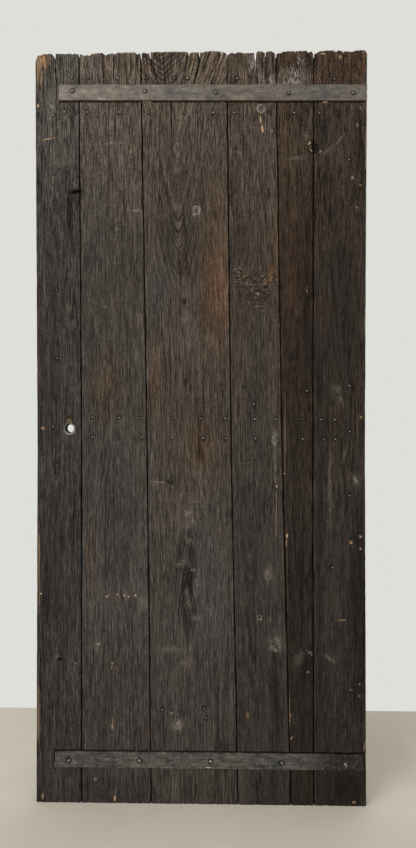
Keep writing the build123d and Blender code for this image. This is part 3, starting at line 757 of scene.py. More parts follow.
# %% Jagged cutters: splits, checks and the broken-out knot
SPLITS = [
    # board, points (x, z, width) in millimetres from the mouth to the tip, how deep it
    # goes, and the share of its width that is left there
    (0, [(-405, 2096, 8), (-404, 2072, 4), (-402, 2026, 3), (-398, 1990, 3), (-401, 1943, 2.6),
         (-399, 1838, 0.6)], 30, 0.15),
    (0, [(-368, 1690, 1), (-370, 1676, 3), (-366, 1660, 1), (-371, 1648, 3), (-368, 1636, 1)], 6, 0.2),
    (0, [(-361, 1684, 1), (-358, 1668, 3), (-360, 1650, 1)], 6, 0.2),
    (0, [(-366, 1632, 1), (-362, 1618, 3), (-366, 1604, 2), (-363, 1580, 1)], 6, 0.2),
    (1, [(-239.5, 2096, 3.6), (-241, 2040, 2.8), (-244, 1958, 0.6)], 26, 0.15),
    (2, [(-142, 2096, 4.5), (-134, 2052, 4.2), (-114, 1990, 3.2), (-110, 1974, 2)], 28, 0.25),
    (2, [(-29, 2096, 4.5), (-41, 2045, 3.6), (-53, 1997, 2.8), (-57, 1974, 1.5)], 28, 0.25),
    (2, [(-1, 2096, 5), (-5, 2050, 4), (-16, 1997, 3.4), (-20, 1974, 1.5)], 28, 0.25),
    (2, [(62, 2096, 4.5), (44, 2045, 3.2), (22, 1974, 0.8)], 28, 0.15),
    (2, [(-80, 1950, 3), (-80, 1900, 3.8), (-78, 1810, 2.8), (-64, 1774, 0.6)], 26, 0.2),
    (2, [(-38, 1950, 3.4), (-42, 1925, 3), (-48, 1890, 1)], 20, 0.2),
    (2, [(-16, -8, 2.6), (-14, 60, 2), (-16, 150, 1.6), (-12, 330, 1.4), (-7, 513, 0.5)], 22, 0.15),
    (3, [(151, 2096, 6), (153.5, 2062, 5), (155.5, 2040, 3.4), (157, 2010, 2.8), (161, 1976, 0.8)],
     60, 0.85),
    (3, [(179, 2096, 4), (181, 2050, 3), (184, 1990, 3.4), (183, 1976, 0.8)], 30, 0.15),
    (3, [(182, 2022, 1), (190, 2003, 3), (196, 1990, 2)], 14, 0.2),
    (3, [(201, 212, 0.5), (200, 180, 1.6), (201, 146, 1.4)], 12, 0.2),
    (4, [(262, 2096, 3), (263, 2070, 2), (264, 2050, 0.5)], 16, 0.2),
    (5, [(370, 2096, 3.4), (371, 2075, 2), (371, 2052, 0.5)], 22, 0.2),
    (5, [(394, 2096, 3), (395, 2060, 2), (394.5, 2004, 0.6)], 24, 0.2),
]
SPLIT_STEP, SPLIT_SWAY, SPLIT_MOUTH = 7 * mm, 1.4 * mm, 1.15
GOUGE_X, GOUGE_Z, GOUGE_TILT = -344 * mm, 1703 * mm, 0.25
GOUGE_HALF = np.array([17, 11, 5]) * mm      # half its width, depth and height


def split_cutter(points, deep, closing, number):
    """A jagged wedge along a row of points."""
    x, z, width = np.array(points, dtype=float).T * mm
    wedge = box_at("split", (0, 0, 0), (1, 1, 1))
    cut_across(wedge, 2, max(6, round(float(z.max() - z.min()) / SPLIT_STEP)))
    across_share, back, along = read(wedge.data.vertices, "co", 3).T
    height = z.min() + along * (z.max() - z.min())
    order = np.argsort(z)
    sway = chance(height / (11 * mm), back * 0.7, 400 + number) - 0.5
    line = np.interp(height, z[order], x[order]) + SPLIT_SWAY * sway
    jagged = 0.6 + 0.8 * chance(height / (9 * mm), 0.5, 420 + number)
    open_by = np.interp(height, z[order], width[order]) * jagged
    open_by = open_by * np.where(back > 0.5, closing, SPLIT_MOUTH)
    y = np.where(back > 0.5, FRONT + deep * mm, FRONT - OVERSHOOT)
    places = np.column_stack([line + (across_share - 0.5) * open_by, y, height])
    move_vertices(wedge.data, places)
    return wedge


def gouge_cutter():
    """The hollow beside the knot in the latch board, torn open towards the joint."""
    bpy.ops.object.select_all(action="DESELECT")
    bpy.ops.mesh.primitive_ico_sphere_add(subdivisions=4, radius=1, location=(0, 0, 0))
    hollow = bpy.context.active_object
    hollow.name = "knot_hollow"
    places = read(hollow.data.vertices, "co", 3)
    ragged = 0.75 + 0.5 * chance(places[:, 0] * 3 + places[:, 1], places[:, 2] * 3, 450)
    places = places * ragged[:, None] * GOUGE_HALF + [GOUGE_X, FRONT, GOUGE_Z]
    places[:, 2] += GOUGE_TILT * (places[:, 0] - GOUGE_X)
    move_vertices(hollow.data, places)
    return hollow


splits = [(board, split_cutter(points, deep, closing, number))
          for number, (board, points, deep, closing) in enumerate(SPLITS)]
gouge = gouge_cutter()
print(len(splits), "splits and one gouge")

# %% Cut the boards
def cut_out(piece, cutters):
    """Takes cutters out of a piece, one Boolean modifier each."""
    pick(piece)
    for number, cutter in enumerate(cutters):
        modifier = piece.modifiers.new(f"cut_{number}", "BOOLEAN")
        modifier.operation, modifier.solver, modifier.object = "DIFFERENCE", "MANIFOLD", cutter
        bpy.ops.object.modifier_apply(modifier=modifier.name)


for index, board in enumerate(boards):
    cutters = [top_housing, bottom_housing, nail_dishes, nail_holes, old_holes]
    cutters += [wedge for owner, wedge in splits if owner == index]
    if index == 0:
        cutters += [latch_hole, gouge]
    else:
        cutters.append(groove_cutter(index))
    cut_out(board, cutters)
print("faces after cutting", [len(board.data.polygons) for board in boards])

# %% [markdown]
# ## Grain, wear and painted shade for the colours
# The relief moved the vertices, and the same numbers now go onto them as attributes, so
# that the colours can follow the rings round a knot and paint shade onto what lies deep.

# %% Attributes on the boards
STAIN_SHADE_IN, STAIN_SHADE_OUT = 4.4 * mm, 8 * mm      # a nail's rust stain and its painted shade end between these radii
DEEP_FROM, DEEP_TO, EDGE_FROM, EDGE_TO, END_FROM, END_TO = 0.7, 4.0, 2.0, 7.0, 2050, 2084   # millimetres
STAIN_SHADE_DEPTH, BOARD_SMOOTH = 4 * mm, 40


def store(piece, name, *values):
    """Stores three numbers for each vertex under a name that a material can read."""
    layer = piece.data.attributes.new(name, "FLOAT_VECTOR", "POINT")
    layer.data.foreach_set("vector", np.column_stack(values).astype(np.float32).ravel())


def nail_stain_and_shade(x, z, inner, outer):
    """1 beside a nail, 0 a few millimetres away: for a rust stain with painted shade round the head."""
    far = np.full(len(x), 1.0)
    for places in nails_at.values():
        for nail_x, nail_z in places:
            far = np.minimum(far, np.hypot(x - nail_x, z - nail_z))
    return 1 - ramp_up(far, inner, outer)


def mark_wood(piece, board):
    """Stores where the grain runs, how deep and worn each place is, and how steep the rings are."""
    x, y, z = read(piece.data.vertices, "co", 3).T
    ring, fibre, shown = grain(x, z, board)
    beside, above = grain(x + 1 * mm, z, board)[0], grain(x, z + 1 * mm, board)[0]
    steep = np.clip(np.hypot(beside - ring, above - ring) / mm, 0.05, 3)
    from_front, from_back = y - FRONT, BACK - y
    # how deep a place lies below the faces: the colours paint shade there
    deep = ramp_up(np.minimum(from_front, from_back) / mm, DEEP_FROM, DEEP_TO)
    gap = np.minimum(x - joint_x(board, z), joint_x(board + 1, z) - x)
    edge = 1 - ramp_up(gap / mm, EDGE_FROM, EDGE_TO)
    end = ramp_up(z / mm, END_FROM, END_TO)
    # round each nail on the front: a rust stain with painted shade
    stain_and_shade = nail_stain_and_shade(x, z, STAIN_SHADE_IN, STAIN_SHADE_OUT) * (from_front < STAIN_SHADE_DEPTH)
    store(piece, "grain", ring, fibre, shown)
    store(piece, "wear", deep, edge, end)
    store(piece, "figure", steep, stain_and_shade, 0 * stain_and_shade)
    smooth(piece, BOARD_SMOOTH)


for index, board in enumerate(boards):
    mark_wood(board, index)
    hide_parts(BOARDS[index][0])
    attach(board, "root")
print("boards dressed")

# %% [markdown]
# ## Ledges
# Three sawn bars are nailed across the back. Each is a box with its back edges planed off
# at a slant, cut into slices and roughened as a saw leaves it.

# %% Ledges
LEDGE_T, LEDGE_BEVEL, LEDGE_END = 30 * mm, 8 * mm, 30 * mm
LEDGES = {
    # node: height, width, tilt in degrees, and how far in its latch end starts
    "top_ledge": (1965 * mm, 150 * mm, 0.8, LEDGE_END),
    "middle_ledge": (1045 * mm, 110 * mm, 0.5, 135 * mm),
    "bottom_ledge": (164 * mm, 235 * mm, 0.0, LEDGE_END),
}
SAW_ROWS, SAW_WAVES, EDGE_SAWN, LEDGE_WORN, LEDGE_SMOOTH = 0.5, 0.6, 1.2 * mm, 10, 30


def make_ledge(node, z, width, tilt, inset, seed):
    """A sawn ledge with a bevel round its back face."""
    left = float(joint_x(0, z)) + inset
    right = float(joint_x(len(BOARDS), z)) - LEDGE_END
    bar = box_at("sawn_" + node, (left, BACK, z - width / 2), (right, BACK + LEDGE_T, z + width / 2))
    centre = read(bar.data.polygons, "center", 3)
    choose(bar.data, faces=centre[:, 1] > BACK + LEDGE_T - 1 * mm)
    in_edit_mode(bpy.ops.mesh.bevel, offset=LEDGE_BEVEL, segments=1, affect="EDGES")
    cut_across(bar, 0, 13)
    cut_across(bar, 0, 13)
    cut_across(bar, 2, 24)
    x, y, depth = read(bar.data.vertices, "co", 3).T
    rows = SAW_ROWS * chance(x / (6 * mm), depth / 0.4, seed)
    rows = rows + SAW_WAVES * chance(x / 0.12, depth / (5 * mm), seed + 1)
    out = ramp_up(y, BACK + 10 * mm, BACK + 20 * mm)
    y = y - out * rows * mm
    squeeze = EDGE_SAWN * chance(x / 0.03, y / 0.02, seed + 2) * np.sign(depth - z)
    depth = depth - squeeze * (np.abs(depth - z) > width / 2 - LEDGE_BEVEL - 1 * mm)
    move_vertices(bar.data, np.column_stack([x, y, depth]))
    turned(bar, tilt, (0, 0, z))
    cut_out(bar, [nail_holes])
    x, _, z_now = read(bar.data.vertices, "co", 3).T
    rise = z_now + 3 * mm * (chance(x / 0.3, z_now / 0.04, seed + 3) - 0.5)
    worn = ramp_up((width / 2 - np.abs(z_now - z)) / mm, 0, LEDGE_WORN)
    store(bar, "grain", rise, rise, 0 * rise)
    store(bar, "wear", 0 * rise, 1 - worn, 0 * rise)
    store(bar, "figure", 0 * rise + 1, 0 * rise, 0 * rise)
    smooth(bar, LEDGE_SMOOTH)
    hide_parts(node)
    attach(bar, "root")
    return bar


ledges = [make_ledge(node, *sizes, 500 + 10 * number)
          for number, (node, sizes) in enumerate(LEDGES.items())]
print("ledge faces", [len(bar.data.polygons) for bar in ledges])

# %% [markdown]
# ## Iron straps
# These bars were drawn out under a hammer, so their faces are faintly dented and their
# edges wander. The bottom one has rusted thin at its hinge end.

# %% Straps
STRAP_ARRIS, EAR_R, EAR_SIDES = 0.9 * mm, 4.5 * mm, 20
HAMMERED, SCALY, PITTED, END_EATEN = 0.35, 0.15, 0.9, 2.5 * mm        # the first three in millimetres
CORRODED_FROM, CORRODED_TO = 330 * mm, 420 * mm
STRAP_STAIN_SHADE_IN, STRAP_STAIN_SHADE_OUT, STRAP_SMOOTH = 5 * mm, 9 * mm, 35


def strap_bar(name, left, right, z, tilt, skew, corroded, seed):
    """A flat bar with worn edges and hammer marks."""
    back = HOUSING_FLOOR
    bar = box_at(name, (left, back - STRAP_T, z - STRAP_W / 2), (right, back, z + STRAP_W / 2))
    centre = read(bar.data.polygons, "center", 3)
    choose(bar.data, faces=centre[:, 1] < back - STRAP_T + 0.1 * mm)
    in_edit_mode(bpy.ops.mesh.bevel, offset=STRAP_ARRIS, segments=2, affect="EDGES")
    cut_across(bar, 0, 19)
    cut_across(bar, 0, 13)
    cut_across(bar, 2, 13)
    x, y, height = read(bar.data.vertices, "co", 3).T
    side = (height - z) / (STRAP_W / 2)
    dents = HAMMERED * chance(x / 0.022, height / 0.016, seed)
    dents = dents + SCALY * chance(x / (5 * mm), height / (4 * mm), seed + 1)
    rust = corroded * ramp_up(x, CORRODED_FROM, CORRODED_TO)
    pits = rust * PITTED * chance(x / (4 * mm), height / (3 * mm), seed + 2) ** 2
    front = ramp_up(back - y, 0.6 * STRAP_T, 0.85 * STRAP_T)
    y = y + front * (dents + pits) * mm
    wander = 0.6 * (chance(x / 0.05, 0.2, seed + 3) - 0.5)
    wander = wander + 0.35 * (chance(x / 0.012, 0.8, seed + 4) - 0.5)
    nibbled = (0.35 + 1.1 * rust) * chance(x / (7 * mm), side * 2, seed + 5) ** 2
    height = height - side * (0.3 + wander + nibbled) * mm * (np.abs(side) > 0.9)
    x = x + skew * (0.5 + side / 2) * ramp_up(left + 30 * mm - x, 0, 30 * mm)
    eaten = chance(height / (6 * mm), 0.5, seed + 6) * ramp_up(x, right - 3 * mm, right)
    x = x - corroded * END_EATEN * eaten
    move_vertices(bar.data, np.column_stack([x, y, height]))
    return turned(bar, tilt, (0, 0, z))


def make_straps():
    """Both straps, with their nail holes and the broken-out hole in the top one's end."""
    hinge_x = float(joint_x(len(BOARDS), TOP_STRAP_Z))
    top = strap_bar("forged_top_strap", float(joint_x(0, TOP_STRAP_Z)) + TOP_STRAP_LEFT, hinge_x,
                    TOP_STRAP_Z, TOP_STRAP_TILT, 0, 0, 600)
    ear_z = TOP_STRAP_Z - hinge_x * tan(radians(TOP_STRAP_TILT))
    ear = round_cutter("ear", hinge_x, ear_z, EAR_R, 2 * STRAP_T, EAR_SIDES)
    cut_out(top, [ear, nail_dishes, nail_holes])
    bottom = strap_bar("forged_bottom_strap", float(joint_x(0, BOTTOM_STRAP_Z)) + BOTTOM_STRAP_LEFT,
                       float(joint_x(len(BOARDS), BOTTOM_STRAP_Z)) - BOTTOM_STRAP_SHORT,
                       BOTTOM_STRAP_Z, 0, BOTTOM_STRAP_SKEW, 1, 620)
    cut_out(bottom, [nail_dishes, nail_holes])
    bpy.data.objects.remove(ear)
    return top, bottom


straps = make_straps()
STRAP_LINES = [("top_strap", TOP_STRAP_Z, TOP_STRAP_TILT), ("bottom_strap", BOTTOM_STRAP_Z, 0)]
for strap, (node, middle_z, tilt) in zip(straps, STRAP_LINES):
    x, _, z = read(strap.data.vertices, "co", 3).T
    rise = (z + x * tan(radians(tilt)) - middle_z) / (STRAP_W / 2)
    # round the nails a rust stain with painted shade, and the place across the strap
    store(strap, "wear", nail_stain_and_shade(x, z, STRAP_STAIN_SHADE_IN, STRAP_STAIN_SHADE_OUT), rise, 0 * rise)
    smooth(strap, STRAP_SMOOTH)
    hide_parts(node)
    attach(strap, "root")
print("strap faces", [len(strap.data.polygons) for strap in straps])

# %% [markdown]
# ## Nails
# For each group of nails one is modelled: a low round head whose top steps in to a dome, and
# a shank that tapers to a point. Every copy gets its own mesh, is turned a little and dented
# as a hammer leaves it.

# %% One nail
NAIL_SIDES, NAIL_SMOOTH, RIM_SHARE = 10, 50, 0.35     # the rim's share of a head's height
DOME = [(0.86, 0.3), (0.62, 0.2), (0.3, 0.15)]        # each step's scale and share of the height
NAIL_POINT, POINT_SCALE, FACE_SLACK = 5 * mm, 0.3, 1e-7


def draw_out(nail, way, distance, scale):
    """Draws the foremost or rearmost face out along Y and scales it about the nail's axis."""
    reach = way * read(nail.data.polygons, "center", 3)[:, 1]
    choose(nail.data, faces=reach >= reach.max() - FACE_SLACK)
    in_edit_mode(bpy.ops.mesh.extrude_region_move, TRANSFORM_OT_translate={"value": (0, way * distance, 0)})
    in_edit_mode(bpy.ops.transform.resize, value=(scale, 1, scale), center_override=(0, 0, 0))


def nail_pattern(name, shank, head_r, head_h, length):
    """A nail along +Y with the underside of its head on Y = 0."""
    bpy.ops.object.select_all(action="DESELECT")
    bpy.ops.mesh.primitive_cylinder_add(vertices=NAIL_SIDES, radius=head_r, depth=RIM_SHARE * head_h,
                                        location=(0, -RIM_SHARE / 2 * head_h, 0), rotation=(pi / 2, 0, 0))
    nail = settle(bpy.context.active_object)
    nail.name = name
    for scale, share in DOME:
        draw_out(nail, -1, share * head_h, scale)
    draw_out(nail, 1, 0.0, shank / 2 / head_r)
    draw_out(nail, 1, length - NAIL_POINT, 1.0)
    draw_out(nail, 1, NAIL_POINT, POINT_SCALE)
    return nail


def nails_from(pattern, node, seat, head_r, seed):
    """Copies of a nail at a node's places, each turned, tilted and dented a little."""
    copies = []
    for number, (x, z) in enumerate(nails_at[node]):
        copy = pattern.copy()
        copy.data = pattern.data.copy()
        bpy.context.collection.objects.link(copy)
        places = read(copy.data.vertices, "co", 3)
        turn = 2 * pi * float(chance(number * 3.7, 0.5, seed))
        px, py, pz = places.T
        head = py < 0
        spun_x, spun_z = px * cos(turn) - pz * sin(turn), px * sin(turn) + pz * cos(turn)
        px, pz = np.where(head, spun_x, px), np.where(head, spun_z, pz)
        dent = 0.82 + 0.3 * chance(px / (0.6 * head_r), pz / (0.6 * head_r), seed + number)
        shrunk = np.where(head, np.minimum(dent, 1.0), 1.0)
        px, pz = px * shrunk, pz * shrunk
        slope = 0.18 * (float(chance(number * 1.9, 0.1, seed + 1)) - 0.5)
        py = np.where(head & (py < py.min() * 0.4), py * (0.9 - 0.08 * dent) + slope * px, py)
        move_vertices(copy.data, np.column_stack([px + x, py + seat, pz + z]))
        copies.append(copy)
    return joined("hammered_" + node, copies)


print("nails of", len(set(NAIL_NODES.values())), "kinds")

# %% All nails
nail_groups = []
for number, (node, (shank, head_r, head_h, length, seat)) in enumerate(NAIL_NODES.items()):
    pattern = nail_pattern("nail_pattern", shank, head_r, head_h, length)
    group = nails_from(pattern, node, seat, head_r, 700 + 20 * number)
    bpy.data.objects.remove(pattern)
    smooth(group, NAIL_SMOOTH)
    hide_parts(node)
    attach(group, "root")
    nail_groups.append(group)
print("nail faces", sum(len(group.data.polygons) for group in nail_groups))

# %% Clear the cutters away
used_up = [nail_holes, nail_dishes, top_housing, bottom_housing, old_holes, latch_hole, gouge]
used_up += [wedge for _, wedge in splits]
used_up += [thing for thing in bpy.data.objects if thing.name.startswith("groove")]
print("cutters to remove", len(used_up))
for cutter in used_up:
    bpy.data.objects.remove(cutter)

# %% [markdown]
# ## Paint helpers
# A finish is a small network of nodes. These helpers add a node and wire it in one line,
# so that each finish reads as a recipe.

# %% Node helpers
class Finish:
    """A material, with short ways to add nodes to it."""

    def __init__(self, name):
        self.material = bpy.data.materials.new(name)
        self.material.use_nodes = True
        self.tree = self.material.node_tree
        self.shader = self.tree.nodes["Principled BSDF"]
        self.place = self.add("ShaderNodeTexCoord").outputs["Object"]

    def add(self, kind, **settings):
        """A new node with these settings."""
        node = self.tree.nodes.new(kind)
        for key, value in settings.items():
            setattr(node, key, value)
        return node

    def feed(self, socket, value):
        """Wires a socket to another one, or gives it a value."""
        if isinstance(value, bpy.types.NodeSocket):
            self.tree.links.new(value, socket)
        else:
            socket.default_value = value

    def sum_up(self, operation, *values):
        """One sum with up to three numbers."""
        node = self.add("ShaderNodeMath", operation=operation)
        for socket, value in zip(node.inputs, values):
            self.feed(socket, value)
        return node.outputs[0]

    def stretch(self, vector, scale):
        """A vector scaled along each axis."""
        node = self.add("ShaderNodeVectorMath", operation="MULTIPLY")
        self.feed(node.inputs[0], vector)
        node.inputs[1].default_value = scale
        return node.outputs[0]

    def noise(self, vector, scale, detail, roughness):
        """A noise with a scale of its own along each axis."""
        node = self.add("ShaderNodeTexNoise")
        self.feed(node.inputs["Vector"], self.stretch(vector, scale))
        node.inputs["Scale"].default_value = 1.0
        node.inputs["Detail"].default_value = detail
        node.inputs["Roughness"].default_value = roughness
        return node.outputs["Fac"]

    def between(self, value, low, high, to_low=0.0, to_high=1.0):
        """Takes the range from low to high to another range."""
        node = self.add("ShaderNodeMapRange", clamp=True)
        limits = {"From Min": low, "From Max": high, "To Min": to_low, "To Max": to_high}
        for name, number in limits.items():
            node.inputs[name].default_value = number
        self.feed(node.inputs["Value"], value)
        return node.outputs[0]

    def ramp(self, value, stops):
        """A colour for each value, from a few stops."""
        node = self.add("ShaderNodeValToRGB")
        while len(node.color_ramp.elements) < len(stops):
            node.color_ramp.elements.new(0.5)
        for element, (place, colour) in zip(node.color_ramp.elements, stops):
            element.position, element.color = place, (*colour, 1)
        self.feed(node.inputs[0], value)
        return node.outputs["Color"]

    def curve(self, value, stops):
        """A number for each value, from a few stops."""
        return self.ramp(value, [(place, (level, level, level)) for place, level in stops])

    def blend(self, how, amount, below, above):
        """Two colours mixed."""
        node = self.add("ShaderNodeMix", data_type="RGBA", blend_type=how)
        self.feed(node.inputs["Factor"], amount)
        colour_inputs = [socket for socket in node.inputs if socket.type == "RGBA"]
        for socket, colour in zip(colour_inputs, (below, above)):
            self.feed(socket, colour if isinstance(colour, bpy.types.NodeSocket) else (*colour, 1))
        return [socket for socket in node.outputs if socket.type == "RGBA"][0]

    def bump(self, height, distance, strength):
        """Raises the surface by a number, for its light and shade only."""
        node = self.add("ShaderNodeBump")
        node.inputs["Distance"].default_value = distance
        node.inputs["Strength"].default_value = strength
        self.feed(node.inputs["Height"], height)
        self.feed(self.shader.inputs["Normal"], node.outputs["Normal"])

    def lay(self, tone, grade, strength):
        """Adds a noise, which swings about one half, to a tone."""
        return self.sum_up("MULTIPLY_ADD", self.sum_up("SUBTRACT", grade, 0.5), strength, tone)

    def split(self, vector):
        """The three numbers of a vector."""
        node = self.add("ShaderNodeSeparateXYZ")
        self.feed(node.inputs[0], vector)
        return node.outputs[:]

    def stored(self, name):
        """The three numbers that a mesh stores for each vertex."""
        return self.split(self.add("ShaderNodeAttribute", attribute_name=name).outputs["Vector"])

    def gather(self, *values):
        """A vector of three numbers."""
        node = self.add("ShaderNodeCombineXYZ")
        for socket, value in zip(node.inputs, values):
            self.feed(socket, value)
        return node.outputs[0]

    def spot(self, x, z, wide, high, tilt=0):
        """The distance from a mark's centre, which is 1 at its edge. Sizes in millimetres."""
        node = self.add("ShaderNodeMapping", vector_type="TEXTURE")
        self.feed(node.inputs["Vector"], self.place)
        node.inputs["Location"].default_value = (x * mm, 0, z * mm)
        node.inputs["Rotation"].default_value = (0, radians(tilt), 0)
        node.inputs["Scale"].default_value = (wide * mm, 1e3, high * mm)
        length = self.add("ShaderNodeVectorMath", operation="LENGTH")
        self.feed(length.inputs[0], node.outputs[0])
        return length.outputs["Value"]


print("paint helpers ready")

# %% [markdown]
# ## Marks
# Each board carries marks that are placed one by one: soft patches of light, shade and hue,
# smudges of lime, rubbed rings, knots, near-black marks that are partly painted shade, and
# places where bare tan wood shows. A kind of mark says how it is mixed in, how hard its edge
# is and how far the grain breaks it.

# %% Kinds of mark
TAN, CREAM, NEAR_BLACK, LIME = (0.34, 0.215, 0.12), (0.24, 0.215, 0.18), (0.008, 0.006, 0.005), (0.36, 0.34, 0.31)
KINDS = {
    # mix, colour, cover, where its edge starts and ends, raggedness, what breaks it and how much;
    # a curl has no colour of its own, because its colour is a pattern
    "light": ("MULTIPLY", (1.40, 1.40, 1.40), 1.0, 0.3, 1.4, 0.6, "ridges", 0.0),
    "lift": ("MULTIPLY", (1.20, 1.20, 1.20), 1.0, 0.4, 1.3, 0.6, "ridges", 0.0),
    "dim": ("MULTIPLY", (0.80, 0.80, 0.80), 1.0, 0.4, 1.3, 0.8, "ridges", 0.0),
    "shade": ("MULTIPLY", (0.55, 0.54, 0.53), 1.0, 0.5, 1.2, 1.0, "ridges", 0.0),
    "warm": ("MULTIPLY", (1.18, 0.98, 0.80), 1.0, 0.3, 1.4, 1.2, "ridges", 0.0),
    "rust": ("MULTIPLY", (1.19, 0.99, 0.89), 1.0, 0.2, 1.4, 1.4, "ridges", 0.0),
    "cool": ("MULTIPLY", (0.93, 1.00, 1.07), 1.0, 0.4, 1.3, 0.8, "ridges", 0.0),
    "smoke": ("MULTIPLY", (0.50, 0.48, 0.45), 1.0, 0.1, 1.45, 3.0, "flecks", 0.75),
    "haze": ("MIX", CREAM, 0.34, 0.1, 1.3, 2.4, "flecks", 0.6),
    "lime": ("MIX", LIME, 0.75, 0.1, 1.3, 2.0, "chalky", 1.0),
    "curl": ("MIX", None, 0.85, 0.6, 1.15, 2.2, "ridges", 0.2),
    "ember": ("MULTIPLY", (1.55, 1.22, 0.92), 1.0, 0.1, 1.4, 1.6, "ridges", 0.0),
    # blackish marks: dark knot wood, and painted shade in hollows, splits and round a raised head
    "blackish": ("MIX", NEAR_BLACK, 0.92, 0.6, 1.2, 2.4, "flecks", 0.45),
    "cream": ("MIX", CREAM, 0.9, 0.4, 1.25, 2.8, "flecks", 0.9),
    "dusty": ("MIX", CREAM, 0.5, 0.1, 1.3, 3.0, "flecks", 1.0),
    "ring": ("MIX", LIME, 0.62, 0.06, 0.22, 1.0, "flecks", 0.6),
    "trace": ("MIX", CREAM, 0.42, 0.06, 0.28, 1.2, "flecks", 0.7),
    "rim": ("MIX", LIME, 0.85, 0.08, 0.20, 0.5, "chalky", 0.35),
    "worn": ("MIX", (0.25, 0.175, 0.11), 0.75, 0.6, 1.1, 2.6, "ridges", 0.6),
    "frayed": ("MIX", (0.37, 0.215, 0.10), 0.95, 0.3, 1.25, 3.0, "ridges", 0.9),
    "amber": ("MIX", (0.19, 0.12, 0.068), 0.8, 0.6, 1.1, 1.6, "ridges", 0.3),
    "bare": ("MIX", TAN, 1.0, 0.7, 1.05, 2.0, "ridges", 0.35),
    "chip": ("MIX", (0.42, 0.28, 0.175), 1.0, 0.7, 1.05, 1.4, "ridges", 0.15),
    # a hole mark is black paint for the shade inside an old nail hole, wider than the hole itself
    "hole": ("MIX", (0.003, 0.003, 0.003), 1.0, 0.8, 1.05, 0.8, "ridges", 0.0),
}
